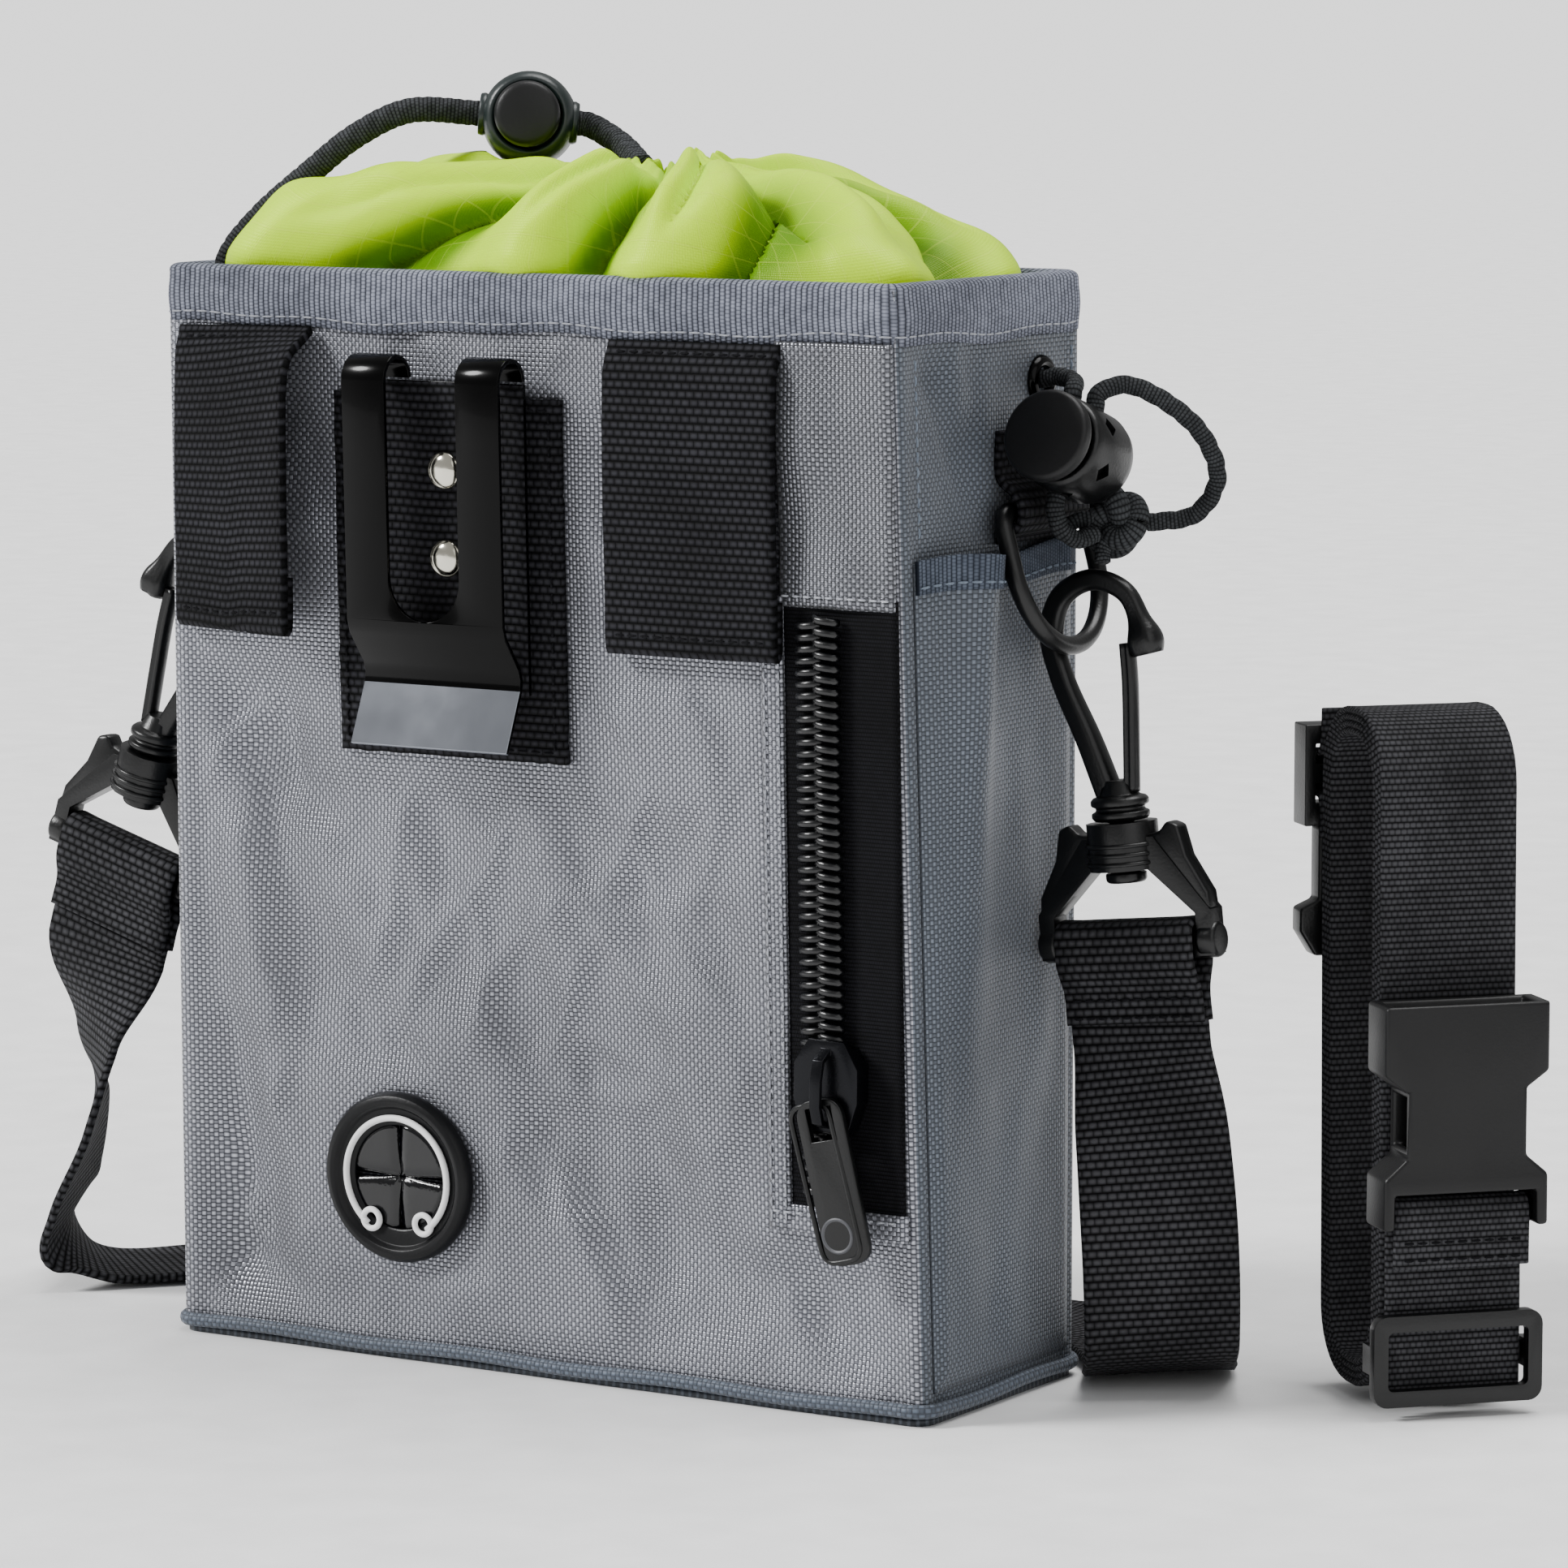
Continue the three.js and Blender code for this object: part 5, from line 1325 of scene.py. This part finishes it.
def build_strap():
    right, left = SIDES["right"], SIDES["left"]
    runs = {
        "right": [
            below_hook(right, 0), below_hook(right, 7), [102.5, 12, 45, 0.95, 0.3, 0],
            [104.5, 11.5, 25, 0.85, 0.52, 0], [103, 15, 9, 0.8, 0.6, 0], [97, 25, 2.4, 0.73, 0.68, 0],
            [90.5, 37, 1, 0.6, 0.8, 0], [80, 46.5, 1.6, 0.42, 0.9, 0], [72, 49.9, 2.6, 0.12, 0.99, 0],
            [66, STRAP_BACK_Y, 2.9, 0, 1, 0], [62, STRAP_BACK_Y, 2.9, 0, 1, 0],
        ],
        "left": [
            below_hook(left, 0), below_hook(left, 7), [-115.5, -4, 48, 0.75, -0.6, 0],
            [-116, -3.5, 34, 0.524, -0.852, 0], [-122.5, -2.5, 17, 0.38, -0.92, 0],
                 [-126.5, 0, 8, 0.45, -0.9, 0],
            [-122, 5.5, 2, 0.6, -0.8, 0], [-107, 23, 1, 0.7, -0.71, 0], [-93, 42, 1, 0.6, -0.8, 0],
            [-76, 50, 1, 0.25, -0.97, 0], [-60, STRAP_BACK_Y, 1, 0, -1, 0],
                 [-42.3, STRAP_BACK_Y, 1, 0, -1, 0],
        ],
    }
    for name, run in runs.items():
        stops = band_stops(run, 150)
        strap = webbing_piece(f"shoulder_strap_{name}", stops, STRAP_WIDTH, WEBBING, STRAP_WEBBING,
                              replaces=f"strap_{name}", parent=False, columns=12)
        Vector(run[0][:3]) * MM
        Vector(run[2][:3]) * MM
        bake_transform(strap)
    build_strap_back()


def build_strap_back():
    across = (0, 1, 0)
    straight = [Vector((lerp(61.7, 30.3, k / 20), STRAP_BACK_Y, 2.9)) for k in range(21)]
    back = webbing_piece("strap_back_run", strip_stops(straight, across), STRAP_WIDTH, WEBBING, STRAP_WEBBING,
                         replaces="strap_back")

    layers = []
    for k in range(5):
        z = 1.2 + 1.75 * k
        ends = (-41.5, 29.5) if k % 2 == 0 else (29.5, -41.5)
        layers += [Vector((lerp(*ends, m / 12), STRAP_BACK_Y,
                           z + 0.25 * math.sin(m / 2 + k))) for m in range(13)]
        if k < 4:
            turn = 1.0 if k % 2 == 0 else -1.0
            layers.append(Vector((ends[1] + turn * 0.85, STRAP_BACK_Y, z + 0.87)))
    path = spline(layers, 300)
    spare = webbing_piece("strap_folded_length", strip_stops(path, across), STRAP_WIDTH, 1.25, STRAP_WEBBING,
                          replaces="strap_spare")
    path_length(path) * MM
    slider = refined_piece("strap_slider_frame", "strap_slider", BLACK_PLASTIC, edge=0.5, segments=3)


# ---- the side pocket and the eyelet ----
POCKET = {"top": 148.0, "bottom": 4.5, "bulge": 6.6, "bulge_y": -12.0, "spread": 7.0, "share": 0.985}


def pocket_point(across, up, out=0.0):
    z = lerp(POCKET["bottom"], POCKET["top"], up)
    y = lerp(-1, 1, across) * (half_depth(z) - CORNER) * POCKET["share"]
    spread = (y - POCKET["bulge_y"]) / POCKET["spread"]
    edge = min(across, 1 - across, up * 3)
    lift = 0.35 + 1.1 * ease(edge / 0.07) + (
        POCKET["bulge"] * math.exp(-spread * spread) * up * up * ease(edge / 0.12))
    ripple = 0.5 * noise.noise(Vector((y / 9, z / 22, 3))) * ease(edge / 0.15)
    top = 0.8 * math.sin(across * 9) * ease((up - 0.9) / 0.1)
    return Vector((half_width(z) + lift + ripple + out, y, z + top))


def build_pocket():
    columns, rows = 48, 90
    points, faces, cells = grid(columns, rows, lambda i, j: pocket_point(i / columns, j / rows),
                                lambda i, j: (52 * i / columns, 144 * j / rows))
    panel = make_piece("pocket_panel", points, faces, GUSSET_CLOTH, weave=cells, replaces="side_pocket")
    thicken_behind(panel, 0.9, OUT_OF_GUSSET)
    hem_rows = 6
    points, faces, cells = grid(
        columns, hem_rows, lambda i, j: pocket_point(i / columns, 1.004 - 0.04 * j / hem_rows, 0.85),
        lambda i, j: (5.6 * j / hem_rows, 52 * i / columns))
    hem = make_piece("pocket_hem", points, faces, HEM_TAPE, weave=cells)
    thicken_behind(hem, 0.8, OUT_OF_GUSSET)
    line = [pocket_point(k / 40, 0.972, 0.95) for k in range(41)]
    stitch_piece("pocket_hem_stitches", line, Vector((1, 0, 0)), 2.6, GREY_THREAD)
    for name, y in (("front", -1), ("back", 1)):
        line = [Vector((half_width(z) + 0.75, y * (half_depth(z) - CORNER - 1.6), z))
                for z in (lerp(152, 183, k / 20) for k in range(21))]
        stitch_piece(f"gusset_{name}_stitches", line, Vector((1, 0, 0)), 2.6, GREY_THREAD, radius=0.18)


def build_eyelet():
    place = Matrix.Translation((half_width(177), 17, 177)) @ Matrix.Rotation(math.pi / 2, 4, "Y")
    rim = [(2.3, 0.1), (4.4, 0.1), (4.3, 0.7), (3.8, 1.3), (3.1, 1.5), (2.5, 1.2)]
    eyelet = turned_piece("side_eyelet_rim", rim, place, BLACK_STEEL, edge=0.1, replaces="side_eyelet")


# ---- belt loops, patch and clip ----
LOOPS = {
    # centre across the face, width, how far the left and right edges stand off, where the foot's seam ends
    "left": {"x": -59.2, "width": 28.5, "stand": (2.6, 9.6), "skew": 2.5, "free": 0.45},
    "right": {"x": 36.6, "width": 34.6, "stand": (3.4, 4.0), "skew": 0.5, "free": 0.65},
}
LOOP_TOP = 184.0
LOOP_FOOT = 131.0


def loop_path(stand, sewn):
    """Out and up of a loop: sewn at its top, down in front and turned up behind.

    Where sewn is 1 the turned-up end meets the face, and where it is 0 it stands free.
    """
    lip = LOOP_FOOT
    end = lerp(stand - 1.55, 1.0, sewn)
    return [(1.0, LOOP_TOP + 0.6), (lerp(1, stand, 0.3), 183), (lerp(1, stand, 0.8), 180.4), (stand, 176),
            (stand + 0.3, 158), (stand, 141), (stand, lip + 1.6), (stand - 0.4, lip + 0.2),
            (stand - 1.2, lip + 0.5),
            (lerp(stand - 1.5, end, 0.25), lip + 2.6), (lerp(stand - 1.5, end, 0.9), lip + 7.5),
            (end, lip + 10)]


def build_belt_loops():
    columns, rows = 20, 110
    for name, loop in LOOPS.items():
        paths = []
        for i in range(columns + 1):
            sewn = 1 - ease((i / columns - loop["free"]) / 0.25)
            path = [(out, z, 0) for out, z in loop_path(lerp(*loop["stand"], i / columns), sewn)]
            paths.append(spline(path, rows))

        def place(i, j, loop=loop, paths=paths):
            out, z, _ = paths[i][j]
            x = loop["x"] + (i / columns - 0.5) * loop["width"] + loop["skew"] * (z - LOOP_FOOT) / 100
            return on_face(x, out, z)
        points, faces, cells = grid(columns, rows, place, lambda i, j: (34 * i / columns, 66 * j / rows))
        piece = make_piece(f"belt_loop_{name}_webbing", points, faces, BLACK_WEBBING, weave=cells,
                           replaces=f"belt_loop_{name}")
        thicken(piece, WEBBING, offset=0)
        foot = max(j for j in range(rows)
                   if paths[0][j].y > LOOP_FOOT + 3 and paths[0][j].x > loop["stand"][0] - 0.2)
        for row, depth in (("top", 3), ("foot", foot)):
            line = [place(i, depth) + FACE_NORMAL * 0.8 for i in range(1, columns)]
            stitch_piece(f"belt_loop_{name}_{row}_stitches", line, FACE_NORMAL, 2.6, BLACK_THREAD)


CLIP = {"x": -14.0, "lip": 122.5}
RIVET_HEIGHTS = {"lower": 145.5, "upper": 161.0}
PATCH = {"x": -15.0, "width": 48.0, "bottom": 110.0, "top": 174.0}


def build_patch():
    columns, rows = 26, 34

    def place(i, j):
        u, v = i / columns, j / rows
        frayed = 0.35 * noise.noise(Vector((u * 9, v * 40, 2))) if i in (0, columns) else 0
        drop = 0.4 * noise.noise(Vector((u * 22, v * 3, 5))) if j in (0, rows) else 0
        edge = min(u, 1 - u, v, 1 - v)
        out = 1.9 - 0.5 * hump(edge, 0.02)
        return on_face(PATCH["x"] + (u - 0.5) * PATCH["width"] + frayed, out,
                       lerp(PATCH["bottom"], PATCH["top"], v) + drop)
    points, faces, cells = grid(columns, rows, place, lambda i, j: (48 * i / columns, 64 * j / rows))
    patch = make_piece("clip_patch_webbing", points, faces, BLACK_WEBBING, weave=cells, replaces="clip_patch")
    thicken_behind(patch, 1.6, OUT_OF_FACE)
    left, right = PATCH["x"] - 22, PATCH["x"] + 22
    box = [on_face(x, 2.0, z) for x, z in
           ((left, 112), (right, 112), (right, 172), (left, 172), (left, 112))]
    for k, (a, b) in enumerate(zip(box, box[1:])):
        stitch_piece(f"clip_patch_stitches_{k}", [a, b], FACE_NORMAL, 2.8, BLACK_THREAD)


def build_clip():
    columns, rows = 18, 28
    points, faces, cells = grid(
        columns, rows,
        lambda i, j: on_face(lerp(CLIP["x"] - 16.6, CLIP["x"] + 16.6, i / columns), 3.42,
                             lerp(121.6, 176.4, j / rows)),
        lambda i, j: (33 * i / columns, 55 * j / rows))
    cover = make_piece("clip_cover_webbing", points, faces, BLACK_WEBBING, weave=cells)
    thicken_behind(cover, 0.28, OUT_OF_FACE)
    plate = refined_piece("clip_backplate", "clip_plate", BLACK_STEEL, edge=0.2)
    tongue = refined_piece("clip_spring", "clip_tongue", BLACK_STEEL, edge=0.22)
    # the lip below this height gets the painted reflection's light colour
    tongue.data.materials.append(LIP_PAINTED_REFLECTION)
    floor = on_face(0, 0, CLIP["lip"]).z * MM
    for polygon in tongue.data.polygons:
        if polygon.center.z < floor:
            polygon.material_index = 1
    for name, height in RIVET_HEIGHTS.items():
        turn = Matrix.Rotation(math.pi / 2 + TILT, 4, "X")
        place = Matrix.Translation(on_face(CLIP["x"], 0, height)) @ turn
        dome = [(0, 1.9), (1.4, 1.9), (1.4, 3.3), (3.1, 3.3), (3.4, 3.6), (3.3, 4.1), (2.6, 4.8),
                (1.5, 5.2), (0, 5.3)]
        rivet = turned_piece(f"clip_rivet_{name}_dome", dome, place, BARE_STEEL, edge=0.2,
                             replaces=f"clip_rivet_{name}")


# ---- the zip ----
ZIP = {"left": 53.4, "right": 76.2, "bottom": 36.0, "top": 140.0, "x": 61.07, "slant": 0.038, "foot": 50.5}


def zip_place(x, out, z):
    """A point of the zip's run, which leans a little to the face."""
    return on_face(ZIP["x"] + x * math.cos(ZIP["slant"]), out + x * math.sin(ZIP["slant"]), z)


def build_zip():
    columns, rows = 16, 70
    points, faces, cells = grid(
        columns, rows,
        lambda i, j: on_face(lerp(ZIP["left"], ZIP["right"], i / columns), 1.05, lerp(34, 142, j / rows)),
        lambda i, j: (23 * i / columns, 108 * j / rows))
    tape = make_piece("zip_tape_cloth", points, faces, ZIP_TAPE, weave=cells, replaces="zip_tape")
    thicken_behind(tape, 0.7, OUT_OF_FACE)
    build_coil()
    build_welts()
    build_zip_slider()


def build_coil():
    pitch = 2.0
    count = round((ZIP["top"] - ZIP["bottom"] - 5) / pitch)
    points, faces = [], []
    for k in range(2 * count):
        side = 1 if k % 2 else -1
        z = ZIP["bottom"] + 3 + pitch * k / 2
        arc = [(4.1, 1.75, 0.0), (3.6, 2.6, 0.15), (2.2, 3.1, 0.35), (0.8, 3.1, 0.5), (-0.2, 2.5, 0.6),
               (-0.5, 1.9, 0.6)]
        path = [zip_place(side * x, out, z + rise) for x, out, rise in arc]
        made, cells, _ = sweep(carried_stops(path), lambda share: round_section(
            0.72 + 0.18 * hump(share - 0.9, 0.2), 0.72, 8))
        faces += [[len(points) + corner for corner in cell] for cell in cells]
        points += made
    coil = make_piece("zip_coil", points, faces, ZIP_TEETH, replaces="zip_chain")


def cloth_strip(name, x, z, out, finish, columns=6, rows=60, belly=0.35):
    """A flat welt of cloth on the face from x[0] to x[1] and z[0] to z[1], rounded towards its edges."""
    def place(i, j):
        u, v = i / columns, j / rows
        edge = min(u, 1 - u) * (x[1] - x[0])
        rise = out - 0.5 * hump(edge, 0.5) + belly * noise.noise(Vector((u * 2, v * (z[1] - z[0]) / 14,
                                                                         x[0])))
        return on_face(lerp(*x, u), rise, lerp(*z, v))
    points, faces, cells = grid(columns, rows, place,
                                lambda i, j: (lerp(*x, i / columns), lerp(*z, j / rows)))
    piece = make_piece(name, points, faces, finish, weave=cells)
    thicken_behind(piece, 1.0, OUT_OF_FACE)
    return piece


def build_welts():
    cloth_strip("zip_welt_left", (49.2, 53.9), (31.5, 142), 1.75, FACE_CLOTH, belly=0.15)
    cloth_strip("zip_welt_foot", (52.5, 77.0), (31.5, 36.2), 1.6, FACE_CLOTH, columns=20, rows=8, belly=0.1)
    cloth_strip("zip_head_panel", (52.6, 76.0), (140.3, 185.5), 1.55, SHINY_CLOTH, columns=24, rows=44,
                belly=0.9)
    for x in (50.1, 53.0):
        line = [on_face(x, 1.8, lerp(33, 141, k / 40)) for k in range(41)]
        stitch_piece(f"zip_welt_stitches_{x:.0f}", line, FACE_NORMAL, 2.3, WHITE_THREAD, radius=0.2)
    for name, z, start in (("head", 142.2, 53.4), ("foot", 34.9, 50.0)):
        line = [on_face(lerp(start, 75.4, k / 12), 1.85, z) for k in range(13)]
        stitch_piece(f"zip_{name}_stitches", line, FACE_NORMAL, 2.3, WHITE_THREAD, radius=0.2)


PULL_LEAN = math.radians(15)


def pull_place(x, out, z):
    """A point of the zip pull, which hangs askew from the slider's bridge."""
    pivot = ZIP["foot"] + 3
    turned_x = x * math.cos(PULL_LEAN) - (z - pivot) * math.sin(PULL_LEAN)
    turned_z = x * math.sin(PULL_LEAN) + (z - pivot) * math.cos(PULL_LEAN)
    return zip_place(turned_x, out, pivot + turned_z)


def build_zip_slider():
    slider = refined_piece("zip_slider_body", "zip_slider", ZIP_METAL, edge=0.45, segments=3)
    pull = refined_piece("zip_pull_tab", "zip_pull", BLACK_PLASTIC, edge=0.4, segments=3)
    pivot = zip_place(0, 6, ZIP["foot"] + 3) * MM
    normal = on_face(0, -1, 0) - on_face(0, 0, 0)
    lean = Matrix.Translation(pivot) @ Matrix.Rotation(-PULL_LEAN, 4, normal) @ Matrix.Translation(-pivot)
    pull.data.transform(lean)
    out = 6.85
    foot = ZIP["foot"]
    outline = []
    for sx, sz in ((1, 1), (-1, 1), (-1, -1), (1, -1)):
        for k in range(7):
            turn = (math.atan2(sz, sx) - math.pi / 4) + math.pi / 2 * k / 6
            outline.append(pull_place(sx * 1.7 + 2.3 * math.cos(turn), out,
                                      foot - 9 + sz * 11.4 + 2.3 * math.sin(turn)))
    tube_piece("zip_pull_rim", spline(outline, 90, closed=True), 0.5, BLACK_PLASTIC, sides=10, closed=True,
               body="zip_pull")
    dial = Matrix.Translation(pull_place(0, out, foot - 18.2)) @ Matrix.Rotation(math.pi / 2 + TILT, 4, "X")
    turned_piece("zip_pull_disc", [(0, -0.2), (3.2, -0.2), (3.2, 0.3), (2.9, 0.5), (2.5, 0.2), (0, 0.4)],
                 dial,
                 PULL_DISC, edge=0.08, body="zip_pull")


# ---- the earphone grommet ----
GROMMET = {"x": -28.7, "z": 33.0}


def build_grommet_ring(place):
    profile = [(9.4, 0.3), (15.2, 0.3), (15.6, 1.0), (15.5, 2.1), (14.9, 3.0), (14.0, 3.3), (13.2, 3.1),
               (12.8, 2.5),
               (12.5, 2.1), (9.9, 2.05), (9.5, 1.8)]
    ring = turned_piece("grommet_rubber", profile, place, BLACK_RUBBER, segments=96, edge=0.12,
                        replaces="grommet_ring")


def build_grommet_petals(place):
    """The slit membrane: four quarters that dip towards their slits and the middle."""
    petals, faces = [], []
    steps = 10
    for quarter in range(4):
        first = len(petals)
        for i in range(steps + 1):
            for j in range(steps + 1):
                turn = math.pi / 2 * (quarter + lerp(0.012, 0.988, i / steps))
                reach = lerp(0.35, 9.7, j / steps)
                slit = min(i, steps - i) / steps * reach
                dip = 0.55 * hump(slit, 0.5) + 0.3 * hump(reach, 3)
                petals.append(place @ Vector((reach * math.cos(turn), reach * math.sin(turn), 1.75 - dip)))
        for i in range(steps):
            for j in range(steps):
                a = first + i * (steps + 1) + j
                faces.append([a, a + steps + 1, a + steps + 2, a + 1])
    leaf = make_piece("grommet_petals", petals, faces, GLOSS_RUBBER, replaces="grommet_membrane")
    thicken_behind(leaf, 0.8, OUT_OF_FACE)


def build_grommet_print(place):
    """The printed sign of an earphone: an open arc that ends in two buds."""
    arc = [place @ Vector((10.9 * math.cos(t), 10.9 * math.sin(t), 2.45))
           for t in (math.pi * lerp(-0.3, 1.3, k / 60) for k in range(61))]
    printed = tube_piece("grommet_arc", arc, 0.6, WHITE_PRINT, sides=10, replaces="grommet_symbol")
    for name, x in (("left", -5.6), ("right", 5.6)):
        bud = [place @ Vector((x + 1.75 * math.cos(t), -8 + 1.75 * math.sin(t), 2.5))
               for t in (2 * math.pi * k / 32 for k in range(32))]
        tube_piece(f"grommet_bud_{name}", bud, 0.55, WHITE_PRINT, sides=10, closed=True)


def build_grommet():
    place = (Matrix.Translation(on_face(GROMMET["x"], 0, GROMMET["z"]))
             @ Matrix.Rotation(math.pi / 2 + TILT, 4, "X"))
    build_grommet_ring(place)
    build_grommet_petals(place)
    build_grommet_print(place)


# ---- the spare waist belt ----
BELT_PLACE = Matrix.Translation((137.6, 43.8, 0)) @ Matrix.Rotation(0.82, 4, "Z")
BELT = {"width": 25.0, "depth": 30.0, "height": 121.0, "corner": 13.0, "thick": 1.05, "pitch": 1.22,
        "turns": 4}


def wound_point(share, inset):
    """A point round the wound belt in its local Y-Z plane; share 0 is low on its -Y side."""
    half_y, half_z = BELT["depth"] / 2 - inset, BELT["height"] / 2 - inset
    radius = BELT["corner"] - inset
    straight_z, straight_y = 2 * (half_z - radius), 2 * (half_y - radius)
    quarter = math.pi * radius / 2
    parts = [straight_z, quarter, straight_y, quarter] * 2
    goal = (share % 1) * sum(parts)
    centre = [(-1, 1), (-1, 1), (1, 1), (1, 1), (1, -1), (1, -1), (-1, -1), (-1, -1)]
    for k, part in enumerate(parts):
        if goal <= part or k == 7:
            break
        goal -= part
    cy, cz = centre[k][0] * (half_y - radius), centre[k][1] * (half_z - radius)
    heading = math.pi - math.pi / 2 * (k // 2)
    if k % 2 == 0:
        out = Vector((0, math.cos(heading), math.sin(heading)))
        along = Vector((0, math.sin(heading), -math.cos(heading)))
        back = {0: straight_z, 2: straight_y}[k % 4] - goal
        sag = 0.6 * math.sin(math.pi * goal / part) if k % 4 == 0 else 0
        return Vector((0, cy, cz)) + out * (radius - sag) - along * back
    turn = heading - goal / radius
    return Vector((0, cy + radius * math.cos(turn), cz + radius * math.sin(turn)))


def build_belt():
    steps = 110
    total = steps * BELT["turns"]
    path = []
    for k in range(total + 1):
        share = k / steps
        inset = BELT["thick"] / 2 + BELT["pitch"] * share
        point = wound_point(share, inset)
        lean = 0.5 * math.sin(2 * math.pi * share + 1)
        path.append(BELT_PLACE @ (point + Vector((lean, 0, BELT["height"] / 2 + 0.4))))
    across = BELT_PLACE.to_3x3() @ Vector((1, 0, 0))
    wound = webbing_piece("waist_belt", strip_stops(path, across), BELT["width"], BELT["thick"], BELT_WEBBING,
                          columns=12, body="belt", replaces="belt_webbing")
    path_length(path) * MM


BELT_RUNS = {
    # thickness, the CAD node it stands for, and its run as (y, z) in the belt's own space
    "tail": (1.2, "belt_tail", [
        (-18.55, 1.5), (-18.55, 20), (-18.55, 35.6), (-19.2, 37.2), (-20.55, 37.75), (-21.9, 37.2),
                                (-22.55, 35.6),
        (-22.55, 31), (-22.5, 26)]),
    "plug_loop": (1.1, (), [
        (16.3, 96), (16.3, 100.5), (17.6, 103.2), (22.4, 103.9), (24.0, 105.6), (24.0, 109), (22.4, 110.7),
        (17.6, 111.2), (16.3, 113.6), (15.9, 119)]),
}


def build_belt_ends():
    across = BELT_PLACE.to_3x3() @ Vector((1, 0, 0))
    for name, (thick, node, run) in BELT_RUNS.items():
        path = spline([BELT_PLACE @ Vector((0, y, z)) for y, z in run], 80)
        strip = webbing_piece(f"waist_belt_{name}", strip_stops(path, across), BELT["width"], thick,
                              BELT_WEBBING,
                              columns=12, body="belt", replaces=node)
    out = BELT_PLACE.to_3x3() @ Vector((0, -1, 0))
    for z in (27.5, 30.5):
        row = [BELT_PLACE @ Vector((x, -23.2, z)) for x in (-11, 11)]
        stitch_piece(f"waist_belt_stitches_{z:.0f}", row, out, 2.4, BLACK_THREAD, body="belt")


def build_buckle():
    for name, node, edge in (
            ("buckle_socket_shell", "buckle_socket", 0.8), ("buckle_plug_frame", "buckle_plug", 0.7),
            ("buckle_left_prong", "buckle_prong_left", 0.6),
                             ("buckle_right_prong", "buckle_prong_right", 0.6),
            ("belt_slider_frame", "belt_slider", 0.7)):
        piece = refined_piece(name, node, MATT_PLASTIC if "socket" in node else BLACK_PLASTIC, edge=edge,
                              segments=3)


build_camera()
build_stage()
build_collar_lock()
build_side_lock()
collar_cord_path = build_cords()
build_pouch_cloth()
build_rim()
build_collar(collar_cord_path)
for side_name, side_facts in SIDES.items():
    build_ring_tab(side_name, side_facts)
    build_ring(side_name, side_facts)
    build_hook(side_name, side_facts)
    build_strap_end(side_name, side_facts)
build_strap()
build_pocket()
build_eyelet()
build_belt_loops()
build_patch()
build_clip()
build_zip()
build_grommet()
build_belt()
build_belt_ends()
build_buckle()
